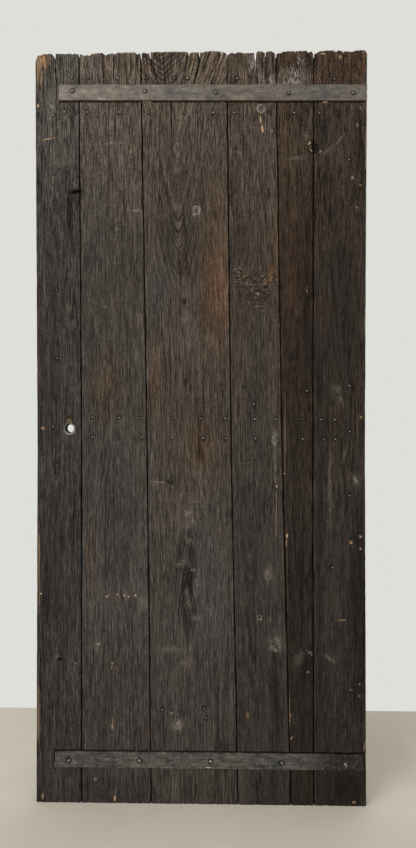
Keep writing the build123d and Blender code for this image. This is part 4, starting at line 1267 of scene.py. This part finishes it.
MARKS = {
    # board: kind of mark, and x, z, half width, half height and tilt of each place
    0: {
        "light": [(-354, 300, 28, 90)],
        "lift": [(-352, 330, 25, 260), (-410, 60, 60, 130), (-362, 1930, 24, 60), (-358, 560, 30, 230)],
        "dim": [(-425, 700, 40, 300), (-380, 560, 50, 130), (-430, 1955, 36, 60),
                (-428, 1080, 30, 170)],
        "shade": [(-431, 600, 12, 110), (-386, 734, 13, 40)],
        "warm": [(-364, 1075, 16, 14), (-452, 1150, 5, 330)],
        "smoke": [(-363, 1640, 13, 74)],
        "haze": [(-402, 408, 8, 7), (-412, 1960, 20, 50), (-353, 1337, 7, 10), (-365, 1380, 6, 12),
                 (-399, 897, 5, 12, 20), (-351, 1724, 13, 2, 32), (-346, 1713, 10, 1.5, 22)],
        # the two lime marks on the joint near the top are painted light of the backdrop seen through the
        # joint
        "lime": [(-354, 1037, 3.5, 8, -20), (-335, 2003, 2.4, 14), (-335, 1914, 2.2, 13)],
        "blackish": [(-365, 1652, 4.5, 42, 3), (-360, 1604, 4, 34, -6), (-352, 1702, 14, 6, -12)],
        "cream": [(-406, 1757, 3, 2), (-414, 1940, 5, 6), (-441, 660, 2, 4)],
        "rim": [(-365, 1044.5, 14, 14.5)],
        "worn": [(-450, 660, 2.4, 150), (-452, 240, 4, 90)],
        "frayed": [(-448, 2044, 7, 50, -3), (-439, 2072, 18, 18), (-430, 2055, 6, 20)],
        "amber": [(-364, 1066, 9, 5), (-351, 376, 1.2, 10)],
        "bare": [(-424, 1849, 17, 1.8, -10), (-409, 1853, 4, 2.4), (-349, 391, 6, 1.2, 35),
                 (-331, 353, 8, 1.1, 4), (-441, 16, 3, 8)],
        "chip": [(-451, 1941, 3, 5), (-438, 1046, 5, 5), (-445, 584, 3, 3)],
        # painted shade of the old nail hole at z 402
        "hole": [(-393, 401, 6.5, 5.5)],
    },
    1: {
        "lift": [(-215, 900, 62, 120), (-290, 400, 40, 90), (-230, 600, 110, 240), (-170, 1330, 12, 90),
                 (-240, 720, 70, 220), (-225, 930, 66, 170)],
        "dim": [(-280, 1520, 70, 170), (-310, 2070, 26, 26), (-300, 1275, 28, 110),
                (-310, 1275, 16, 80)],
        "warm": [(-262, 1166, 40, 90), (-310, 690, 10, 90)],
        "rust": [(-150, 197, 14, 24)],
        "cool": [(-235, 860, 45, 160)],
        "haze": [(-226, 1504, 18, 1.2), (-231, 1599, 8, 6), (-290, 1320, 5, 30), (-250, 1836, 10, 3),
                 (-160, 560, 16, 26)],
        # the two lime marks on the joint near the top are painted light of the backdrop seen through the
        # joint
        "lime": [(-335, 2003, 2.4, 14), (-335, 1914, 2.2, 13)],
        # at x -290, z 66 a pale round head is painted, with painted shade round it
        "blackish": [(-292, 64, 8, 8)],
        "cream": [(-176, 1649, 9, 5), (-249, 1838, 5, 2.5), (-218, 1836, 6, 1.2), (-146, 660, 7, 1.3),
                  (-264, 1384, 5, 4), (-286, 444, 7, 3), (-280, 447, 6, 1, -30), (-238, 28, 2.4, 6),
                  (-290, 66, 5.5, 5.5)],
        "dusty": [(-288, 432, 5, 14)],
        "rim": [(-292, 66, 4, 4), (-292, 66, 1.8, 1.8)],
        "amber": [(-236, 380, 1.0, 8, 8), (-230, 378, 1.1, 9, -15), (-241, 372, 1.0, 12, 3),
                  (-245, 232, 3, 10)],
        "bare": [(-303, 2083, 16, 2.6), (-193, 1812, 1.5, 5), (-248, 379, 1.0, 8, 25),
                 (-130, 166, 2, 5)],
        "chip": [(-331, 352, 2.4, 2.4), (-245, 391, 7, 1.0, -25), (-246, 214, 2, 9, 4),
                 (-239, 14, 3.4, 9), (-260, 577, 3.2, 3.2), (-231, 583, 3.2, 3.2),
                 (-211, 580, 3.2, 3.2), (-199, 577, 3.2, 3.2), (-180, 580, 3.2, 3.2)],
    },
    2: {
        "light": [(62, 1430, 24, 100), (-50, 70, 110, 110), (-118, 2055, 26, 36)],
        "lift": [(-20, 1590, 60, 60), (-115, 440, 30, 110), (-20, 1265, 110, 50), (0, 560, 90, 200),
                 (-40, 1660, 50, 180), (-30, 600, 120, 360)],
        "dim": [(-70, 1960, 30, 60), (-26, 545, 24, 80)],
        "warm": [(36, 1470, 44, 260), (0, 1000, 70, 110), (-128, 1180, 24, 120)],
        "rust": [(50, 1420, 36, 150)],
        "cool": [(-112, 1430, 28, 90), (10, 560, 60, 160)],
        "smoke": [(-29, 633, 12, 40)],
        "haze": [(-41, 1350, 14, 26), (-14, 1330, 5, 20, 20), (-22, 790, 5, 18, -30),
                 (-4, 841, 48, 1.5, 2), (-98, 849, 26, 1.5, 12), (-61, 220, 15, 22, 35),
                 (-80, 430, 40, 10), (-42, 395, 16, 12)],
        "blackish": [(-89, 897, 7, 4, 20), (-41, 1393, 4, 5)],
        "cream": [(-20, 1635, 3, 5, -30), (-34, 809, 8, 8), (-61, 220, 9, 16, 35), (-80, 253, 4, 3),
                  (67, 640, 1.3, 9)],
        "dusty": [(-32, 733, 15, 9, 15), (-55, 672, 14, 10, -30), (-21, 652, 12, 5), (-39, 590, 8, 12),
                  (-17, 520, 13, 9), (-10, 610, 9, 40, 5), (-34, 560, 10, 24), (-61, 220, 14, 21, 35)],
        "ring": [(-11, 1648, 10, 11), (-10, 1648, 4.5, 5)],
        "amber": [(-114, 896, 24, 2.2, 4), (-78, 882, 7, 2, 40), (-38, 384, 9, 1.4, -20)],
        "chip": [(9, 104, 3, 3)],
    },
    3: {
        "light": [(98, 80, 34, 110)],
        "lift": [(140, 1880, 60, 150), (204, 1540, 14, 100), (100, 1640, 20, 90), (204, 1640, 14, 70),
                 (110, 1140, 26, 120), (200, 1100, 14, 220)],
        "dim": [(110, 1560, 24, 90), (150, 1425, 44, 60), (200, 60, 24, 90)],
        "shade": [(206, 270, 15, 190)],
        "warm": [(202, 1560, 16, 110)],
        "rust": [(96, 1346, 10, 26)],
        "haze": [(206, 1030, 7, 20), (205, 975, 6, 40), (129, 950, 24, 1.3, -4), (192, 515, 8, 8),
                 (190, 640, 14, 30), (215, 455, 22, 26)],
        "lime": [(142, 2046, 9, 24), (192, 2002, 16, 18), (165, 2010, 10, 20), (167, 1927, 9, 10)],
        "curl": [(104, 1480, 15, 22, 20), (112, 1467, 19, 27, 20), (128, 1446, 22, 28, 30),
                 (145, 1422, 25, 32), (161, 1400, 22, 38), (182, 1444, 25, 36), (204, 1460, 13, 26)],
        "ember": [(196, 1468, 22, 26), (128, 1470, 10, 8)],
        "blackish": [(122, 1160, 9, 5, 10), (135, 1138, 3, 22, -28), (146, 53, 6, 5)],
        "cream": [(159, 1416, 5, 5), (205, 1012, 8, 17), (105, 1808, 7, 2.2, 25), (201, 438, 4, 9, -20),
                  (209, 430, 8, 3, 10), (206, 930, 1.8, 18, 8), (207, 905, 1.6, 12, -10)],
        "ring": [(167, 1927, 9.5, 10.5), (164, 521, 6, 6)],
        "trace": [(187, 638, 8, 11), (207, 447, 14, 15)],
        "worn": [(210, 800, 1.3, 70)],
        "amber": [(131, 249, 5, 10)],
        "bare": [(198, 1865, 4, 3)],
        "chip": [(168, 517, 1.6, 3.4, -30), (166, 1896, 2.4, 12, -4), (171, 1872, 2.6, 11, -8),
                 (211, 885, 2.2, 4)],
    },
    4: {
        "lift": [(246, 1840, 20, 190), (248, 1840, 18, 160), (246, 1670, 16, 90)],
        "dim": [(270, 420, 60, 360), (296, 1520, 24, 160), (270, 300, 60, 260), (258, 1040, 24, 150),
                (298, 1310, 14, 230)],
        "shade": [(294, 1372, 12, 170), (290, 400, 24, 60)],
        "warm": [(298, 1430, 12, 150), (262, 1450, 24, 200)],
        "cool": [(280, 1760, 44, 270)],
        "smoke": [(270, 1300, 26, 50)],
        "haze": [(303, 1900, 4, 34, 6), (292, 1850, 8, 14), (262, 1790, 26, 6, -8),
                 (272, 407, 13, 22, 20)],
        "lime": [(258, 2014, 42, 28), (250, 1998, 40, 18), (276, 2060, 12, 18)],
        "blackish": [(311, 1817, 13, 15), (254, 1242, 9, 13)],
        "cream": [(304, 1822, 2, 7, 35), (294, 1427, 1.2, 13), (304, 425, 8, 2, -25),
                  (296, 431, 5, 1.6, 20), (308, 420, 2, 5)],
        "worn": [(247, 240, 1.2, 110), (234, 1010, 1.3, 130), (313, 1190, 1.2, 110),
                 (313, 1480, 1.4, 120)],
        "amber": [(241, 640, 0.6, 110), (249, 250, 4, 8)],
        "bare": [(306, 1812, 2.4, 5, -30), (238, 730, 1.3, 12), (233, 920, 2, 3), (314, 2000, 1.6, 5)],
        "chip": [(300, 1830, 2.4, 6, 40), (240, 748, 3, 6.5), (297, 371, 3.2, 2.2, -30),
                 (247, 236, 2, 3), (253, 188, 1.2, 6, 25)],
    },
    5: {
        "lift": [(362, 760, 20, 300), (345, 620, 26, 150)],
        "dim": [(400, 2040, 60, 70), (352, 1070, 18, 160), (385, 1330, 80, 330)],
        "shade": [(330, 1170, 10, 100), (333, 1866, 19, 61), (436, 1846, 8, 92), (442, 560, 24, 330),
                  (426, 600, 16, 130), (331, 700, 10, 420), (405, 50, 60, 50)],
        "warm": [(390, 2030, 80, 70), (344, 1371, 17, 56)],
        "cool": [(391, 1344, 28, 200)],
        "smoke": [(436, 1840, 9, 80), (424, 320, 24, 36), (430, 735, 20, 30), (400, 56, 34, 34),
                  (350, 1740, 18, 26)],
        "haze": [(350, 1810, 22, 5, -35), (384, 1840, 26, 5, -50), (378, 1150, 16, 20),
                 (386, 1130, 7, 26, -20), (358, 881, 6, 110), (428, 901, 10, 20, -20),
                 (398, 975, 4, 30, 12), (432, 1880, 5, 8), (359, 408, 20, 6, 35)],
        "cream": [(432, 1881, 2.5, 4), (416, 1653, 2.4, 2.4), (431, 1653, 2.4, 2.4),
                  (430, 900, 4, 8, -20), (359, 404, 6, 2, 40), (348, 1943, 9, 3), (410, 1786, 2, 2)],
        "ring": [(443, 1925, 4, 4)],
        "worn": [(454, 1338, 2, 33), (455, 1810, 2.2, 60), (456, 1560, 1.6, 40)],
        "amber": [(388, 514, 18, 1.0)],
        "bare": [(330, 1807, 5, 1.6, -30), (385, 2066, 4, 5), (443, 1925, 2, 2), (443, 1076, 3.5, 3.5),
                 (394, 516, 12, 1.1), (425, 11, 5, 3.5), (453, 165, 1.4, 14, 4), (441, 1716, 3.4, 3.4),
                 (342, 1943, 3, 2), (440.5, 339, 4, 4), (416, 322.5, 4, 4), (440.5, 306, 4, 4)],
        "chip": [(338, 2077, 8, 3), (418, 1735, 4, 4), (441, 746.5, 4, 4), (415.5, 730, 4.4, 4.4),
                 (441, 713.5, 4, 4)],
    },
}
RING_KINDS = ("ring", "trace", "rim")     # marks that are drawn as an outline
print("marks", sum(len(places) for marks in MARKS.values() for places in marks.values()))

# %% [markdown]
# ## Weathered wood
# The tone adds fine fibres and pores to the broader stripes of the grain, which give way to
# growth rings where the cut shows them. Deep places get painted shade and a warmer hue, the
# wood round each nail a rust stain with painted shade, and worn edges are lighter. The leaf
# grows lighter towards the top, partly from the weather and partly as painted light from
# above. A second number, the warmth, takes the hue from bluish grey to red brown.

# %% Weathered wood
WOOD_TONES = [(0.18, (0.006, 0.005, 0.004)), (0.36, (0.026, 0.021, 0.017)), (0.5, (0.052, 0.043, 0.036)),
              (0.64, (0.088, 0.075, 0.063)), (0.86, (0.165, 0.145, 0.125))]
# lighter towards the top and darker towards the foot: partly the weathering of the wood, partly painted
# light from above
HEIGHT_LIGHT = [(0.0, 0.84), (0.05, 0.90), (0.12, 0.96), (0.35, 1.05), (0.55, 1.02), (0.75, 1.0),
                (0.83, 1.1), (0.92, 1.24), (1.0, 1.6)]
HEIGHT_WARMTH = [(0.0, 0.37), (0.14, 0.26), (0.34, 0.29), (0.53, 0.47), (0.72, 0.52), (0.86, 0.57),
                 (1.0, 0.58)]
WARMTH_HUES = [(0.0, (0.95, 0.97, 1.16)), (0.5, (1.0, 1.0, 1.0)), (1.0, (1.27, 0.95, 0.61))]
DEEP_SHADE, EDGE_LIGHT, STAIN_SHADE = -0.28, 0.04, -0.16
TOP_CONTRAST, FIGURE_CALM, FIGURE_STRENGTH, FIGURE_FADE = 0.7, -0.3, 0.38, -0.13
GRADES = (0.80, 1.08, 0.50, 0.2, 0.16)     # strengths of fibres, pores, grit, clouds and drifts
LINE_W, WARMTH_DRIFT, DEEP_WARMTH, BLEACHED = 0.085, 0.3, 0.45, (0.25, 0.20, 0.12)
TOP_REACH = (1500 * mm, 2020 * mm)         # heights between which the look of the top sets in
FRONT_FADE, CURL_TWIST = (-20 * mm, -26 * mm), 1.2
SPECKS_SHOW, TIPS_SHOW = (0.74, 0.80, 0.0, 0.6), (1.50, 1.62, 0.0, 0.55)     # from, to, least and most
WOOD_ROUGHNESS, WOOD_SPECULAR, WOOD_BUMP = (0.3, 0.7, 0.9, 0.66), 0.2, (0.7 * mm, 0.6)
CURL_TONES = [(0.42, (0.005, 0.004, 0.003)), (0.50, (0.022, 0.017, 0.012)), (0.56, (0.075, 0.058, 0.043)),
              (0.66, (0.23, 0.17, 0.12))]


def mark_mask(paint, kind, places, ragged, breakers):
    """Where the marks of one kind show: 0 outside them, and up to their cover inside."""
    _, _, cover, start, finish, rough, breaker, broken = KINDS[kind]
    nearest = None
    for place in places:
        far = paint.spot(*place)
        if kind in RING_KINDS:
            far = paint.sum_up("ABSOLUTE", paint.sum_up("SUBTRACT", far, 1.0))
        nearest = far if nearest is None else paint.sum_up("MINIMUM", nearest, far)
    mask = paint.between(paint.lay(nearest, ragged, rough), finish, start, 0.0, cover)
    kept = paint.sum_up("MULTIPLY_ADD", breakers[breaker], broken, 1 - broken)
    return paint.sum_up("MULTIPLY", mask, kept)


def wood_finish(name, tint, warmth, contrast, line_shade, marks):
    """Dark weathered wood, with a board's own tint, warmth, contrast, depth of figure and marks."""
    paint = Finish(name)
    ring, fibre, shown = paint.stored("grain")
    deep, edge, end = paint.stored("wear")
    steep, stain_and_shade, _ = paint.stored("figure")
    _, y, z = paint.split(paint.place)
    rings_at, fibres_at = paint.gather(ring, y, z), paint.gather(fibre, y, z)
    height, top = paint.between(z, 0, LEAF_H), paint.between(z, *TOP_REACH)

    rings = paint.noise(rings_at, (340, 170, 3.2), 2, 0.5)
    stripes = paint.noise(fibres_at, (300, 150, 7), 2, 0.5)
    figured = paint.sum_up("MULTIPLY_ADD", paint.sum_up("SUBTRACT", rings, stripes), shown, stripes)
    fibres = paint.noise(fibres_at, (560, 280, 13), 3, 0.6)
    pores = paint.noise(fibres_at, (1000, 500, 34), 2, 0.6)
    grit = paint.noise(paint.place, (300, 150, 230), 3, 0.65)
    clouds = paint.noise(paint.place, (60, 40, 30), 3, 0.6)
    drifts = paint.noise(paint.place, (12, 6, 4), 1, 0.5)
    tone = 0.0
    for grade, strength in zip((fibres, pores, grit, clouds, drifts), GRADES):
        tone = paint.lay(tone, grade, strength)
    contrast = paint.sum_up("MULTIPLY_ADD", top, TOP_CONTRAST, contrast)
    contrast = paint.sum_up("MULTIPLY", contrast, paint.sum_up("MULTIPLY_ADD", shown, FIGURE_CALM, 1.0))
    tone = paint.sum_up("MULTIPLY_ADD", tone, contrast, 0.5)
    tone = paint.lay(tone, figured, paint.sum_up("MULTIPLY_ADD", top, FIGURE_FADE, FIGURE_STRENGTH))

    late_wood = paint.noise(rings_at, (170, 80, 1.6), 1, 0.5)
    line = paint.sum_up("ABSOLUTE", paint.sum_up("SUBTRACT", late_wood, 0.5))
    line = paint.between(paint.sum_up("DIVIDE", line, paint.sum_up("MULTIPLY", steep, LINE_W)), 1.5, 0.5)
    line = paint.sum_up("MULTIPLY", line, shown)
    # painted shade in deep places, a rust stain with painted shade round the nails, lighter worn edges and
    # darker figure lines
    shades = ((deep, DEEP_SHADE), (edge, EDGE_LIGHT), (stain_and_shade, STAIN_SHADE), (line, line_shade))
    for depth, strength in shades:
        tone = paint.sum_up("MULTIPLY_ADD", depth, strength, tone)
    colour = paint.blend("MULTIPLY", 1.0, paint.ramp(tone, WOOD_TONES), tint)
    # the leaf made lighter towards the top, partly for the weather and partly as painted light from above
    colour = paint.blend("MULTIPLY", 1.0, colour, paint.curve(height, HEIGHT_LIGHT))
    warm = paint.sum_up("ADD", paint.curve(height, HEIGHT_WARMTH), warmth - 0.5)
    warm = paint.lay(warm, paint.noise(paint.place, (9, 5, 1.7), 2, 0.5), WARMTH_DRIFT)
    warm = paint.sum_up("MULTIPLY_ADD", deep, DEEP_WARMTH, warm)
    colour = paint.blend("MULTIPLY", 1.0, colour, paint.ramp(warm, WARMTH_HUES))

    specks = paint.noise(paint.place, (420, 200, 420), 1, 0.5)
    speckled = paint.between(paint.sum_up("MULTIPLY_ADD", top, 0.05, specks), *SPECKS_SHOW)
    colour = paint.blend("MIX", speckled, colour, CREAM)
    tips = paint.sum_up("ADD", end, paint.noise(paint.place, (200, 200, 160), 2, 0.6))
    colour = paint.blend("MIX", paint.between(tips, *TIPS_SHOW), colour, BLEACHED)

    ragged = paint.noise(fibres_at, (240, 120, 40), 3, 0.7)
    ridges = paint.between(paint.sum_up("MULTIPLY_ADD", pores, 0.6, fibres), 0.72, 0.90)
    chalky = paint.between(paint.noise(paint.place, (380, 200, 80), 3, 0.65), 0.47, 0.60)
    flecks = paint.between(paint.noise(paint.place, (300, 200, 220), 2, 0.6), 0.45, 0.58)
    breakers = {"ridges": ridges, "chalky": chalky, "flecks": flecks}
    wavy = paint.noise(paint.place, (90, 100, 330), 2, 0.6)
    wavy.node.inputs["Distortion"].default_value = CURL_TWIST
    curled = paint.ramp(wavy, CURL_TONES)
    on_front = paint.between(y, *FRONT_FADE)
    for kind, (how, shade, *_) in KINDS.items():
        if kind in marks:
            mask = paint.sum_up("MULTIPLY", mark_mask(paint, kind, marks[kind], ragged, breakers), on_front)
            colour = paint.blend(how, mask, colour, shade or curled)
    paint.feed(paint.shader.inputs["Base Color"], colour)
    paint.feed(paint.shader.inputs["Roughness"], paint.between(tone, *WOOD_ROUGHNESS))
    paint.shader.inputs["Specular IOR Level"].default_value = WOOD_SPECULAR
    paint.bump(tone, *WOOD_BUMP)
    return paint.material


BOARD_LOOKS = [
    # tint, warmth, contrast and depth of figure of each board
    ((0.60, 0.60, 0.60), 0.40, 1.18, -0.05), ((0.79, 0.78, 0.78), 0.50, 1.00, -0.08),
    ((0.84, 0.81, 0.80), 0.52, 0.95, -0.21), ((0.66, 0.63, 0.62), 0.55, 0.95, -0.12),
    ((0.37, 0.325, 0.295), 0.77, 1.05, -0.12), ((0.42, 0.38, 0.37), 0.65, 1.05, -0.14),
]
LEDGE_TINTS = [(0.95, 0.92, 0.9), (1.0, 0.95, 0.9), (0.85, 0.82, 0.8)]
LEDGE_LOOK = (0.55, 1.0, -0.12)     # warmth, contrast and depth of figure
for index, (board, look) in enumerate(zip(boards, BOARD_LOOKS)):
    dress(board, wood_finish("wood_" + BOARDS[index][0], *look, MARKS[index]))
for bar, tint in zip(ledges, LEDGE_TINTS):
    dress(bar, wood_finish("wood_" + bar.name, tint, *LEDGE_LOOK, {}))
print("wood finished")

# %% [markdown]
# ## Iron
# The straps wear a dull grey-brown skin with bluish scale in patches and tan rust along
# the lower edge, painted shade round their nails and, on the bottom one, painted glints
# along its edges. The nails are darker, and their crowns are rubbed bright and painted with
# a highlight.

# %% Strap and nail finishes
SCRATCH, RUST_TAN = (0.26, 0.24, 0.21), (0.24, 0.15, 0.085)
BLUISH, PAINTED_GLINT = (0.74, 0.80, 0.88), (0.5, 0.48, 0.44)
SCALE_ZONE = (0.28, 0.36)     # X in metres where the corroded end starts and is whole
STRAP_TONES = [(0.2, (0.028, 0.025, 0.022)), (0.42, (0.086, 0.073, 0.060)), (0.58, (0.132, 0.110, 0.088)),
               (0.8, (0.23, 0.20, 0.165))]
LOW_STRAP_TONES = [(0.2, (0.012, 0.011, 0.010)), (0.42, (0.053, 0.048, 0.044)),
                   (0.58, (0.108, 0.097, 0.087)), (0.8, (0.26, 0.24, 0.21))]
SCALE_TONES = [(0.40, (0.006, 0.005, 0.005)), (0.54, (0.018, 0.014, 0.012)), (0.68, (0.09, 0.068, 0.055))]
STRAP_LOOKS = [
    # tones, whether its end is corroded, bluish patches, and marks: painted glints along the edges and a
    # smudge
    (STRAP_TONES, False, [(330, 1962, 60, 30), (-60, 1965, 60, 20), (40, 1960, 40, 24)], []),
    (LOW_STRAP_TONES, True, [(-330, 126, 90, 26), (200, 120, 60, 26)],
     [((22, 104, 10, 1.3), PAINTED_GLINT), ((-140, 146, 12, 1.3, 2), PAINTED_GLINT), ((404, 112, 3, 4, 30), CREAM)]),
]
IRON_DARK = (0.018, 0.014, 0.011)
STRAP_CROWNS = {
    # node: colour of the crowns, rubbed and painted as a highlight, and how much of them is so
    "top_strap_nails": ((0.34, 0.31, 0.27), 0.45),
    "bottom_strap_nails": ((0.50, 0.47, 0.43), 0.75),
}
OTHER_CROWNS = ((0.40, 0.37, 0.33), 0.6)
STRAP_METAL, STRAP_ROUGHNESS, STRAP_BUMP = 0.3, (0.3, 0.7, 0.62, 0.48), (0.3 * mm, 0.4)
NAIL_METAL, NAIL_ROUGHNESS, NAIL_BUMP = 0.25, (0.3, 0.7, 0.6, 0.4), (0.3 * mm, 0.5)
SCRATCHES_SHOW, RUST_SHOWS, STRAP_STAIN_SHADE = (0.70, 0.76, 0.0, 0.5), (-0.90, -1.0, 0.0, 0.5), -0.5
CROWN_START, CROWN_END = 0.4, 0.9     # shares of a head's height between which the rubbing and painted highlight grow


def strap_finish(name, tones, corroded, blue, marks):
    """Forged iron with a worn skin, rust-stained with painted shade round its nails, and tan along its
    lower edge.
    """
    paint = Finish(name)
    stain_and_shade, rise, _ = paint.stored("wear")
    x = paint.split(paint.place)[0]
    drawn = paint.noise(paint.place, (14, 60, 210), 4, 0.6)
    patches = paint.noise(paint.place, (30, 30, 60), 3, 0.55)
    specks = paint.noise(paint.place, (420, 300, 420), 2, 0.6)
    tone = paint.lay(paint.lay(paint.lay(0.5, drawn, 0.5), patches, 0.75), specks, 0.6)
    tone = paint.lay(tone, paint.noise(paint.place, (150, 100, 130), 3, 0.65), 0.5)
    # a rust stain with painted shade round each nail head
    tone = paint.sum_up("MULTIPLY_ADD", stain_and_shade, STRAP_STAIN_SHADE, tone)
    colour = paint.ramp(tone, tones)
    for place in blue:
        bluish = paint.between(paint.lay(paint.spot(*place), patches, 1.5), 1.3, 0.5)
        colour = paint.blend("MULTIPLY", bluish, colour, BLUISH)
    if corroded:
        rust = paint.between(paint.lay(x, patches, 0.25), *SCALE_ZONE)
        scale = paint.ramp(paint.noise(paint.place, (150, 80, 170), 4, 0.7), SCALE_TONES)
        colour = paint.blend("MIX", rust, colour, scale)
    scratches = paint.between(paint.noise(paint.place, (9, 60, 620), 1, 0.5), *SCRATCHES_SHOW)
    colour = paint.blend("MIX", scratches, colour, SCRATCH)
    wavering = paint.lay(rise, paint.noise(paint.place, (60, 60, 60), 3, 0.6), 0.35)
    colour = paint.blend("MIX", paint.between(wavering, *RUST_SHOWS), colour, RUST_TAN)
    # marks: painted glints along the edges, and a smudge
    for place, shade in marks:
        patch = paint.between(paint.lay(paint.spot(*place), specks, 1.2), 1.1, 0.7)
        colour = paint.blend("MIX", patch, colour, shade)
    paint.feed(paint.shader.inputs["Base Color"], colour)
    paint.shader.inputs["Metallic"].default_value = STRAP_METAL
    paint.feed(paint.shader.inputs["Roughness"], paint.between(patches, *STRAP_ROUGHNESS))
    paint.bump(tone, *STRAP_BUMP)
    return paint.material


def nail_finish(name, rubbed_highlight, covered, head_h, seat):
    """Rusted iron whose crown is rubbed and painted brighter, as a highlight, over a share of its face."""
    paint = Finish(name)
    y = paint.split(paint.place)[1]
    rust = paint.noise(paint.place, (500, 500, 500), 3, 0.6)
    crown = paint.between(y, seat - CROWN_START * head_h, seat - CROWN_END * head_h)
    spared = 0.62 - covered * 0.3
    bright = paint.between(paint.noise(paint.place, (260, 100, 260), 2, 0.6), spared, spared + 0.1)
    # the crown: rubbed iron and a painted highlight
    amount = paint.sum_up("MULTIPLY", crown, bright)
    paint.feed(paint.shader.inputs["Base Color"], paint.blend("MIX", amount, IRON_DARK, rubbed_highlight))
    paint.shader.inputs["Metallic"].default_value = NAIL_METAL
    paint.feed(paint.shader.inputs["Roughness"], paint.between(rust, *NAIL_ROUGHNESS))
    paint.bump(rust, *NAIL_BUMP)
    return paint.material


for strap, look in zip(straps, STRAP_LOOKS):
    dress(strap, strap_finish("iron_" + strap.name, *look))
for group, (node, (_, _, head_h, _, seat)) in zip(nail_groups, NAIL_NODES.items()):
    dress(group, nail_finish("iron_" + node, *STRAP_CROWNS.get(node, OTHER_CROWNS), head_h, seat))
print("iron finished")

# %% Floor finish
SCREED_TONES = [(0.3, (0.50, 0.455, 0.385)), (0.7, (0.60, 0.55, 0.475))]


def floor_finish():
    """Pale smooth screed."""
    paint = Finish("pale_screed")
    cloud = paint.noise(paint.place, (1.5, 1.5, 1.5), 4, 0.55)
    paint.feed(paint.shader.inputs["Base Color"], paint.ramp(cloud, SCREED_TONES))
    paint.shader.inputs["Roughness"].default_value = 0.8
    return paint.material


dress(floor, floor_finish())
print("floor finished")
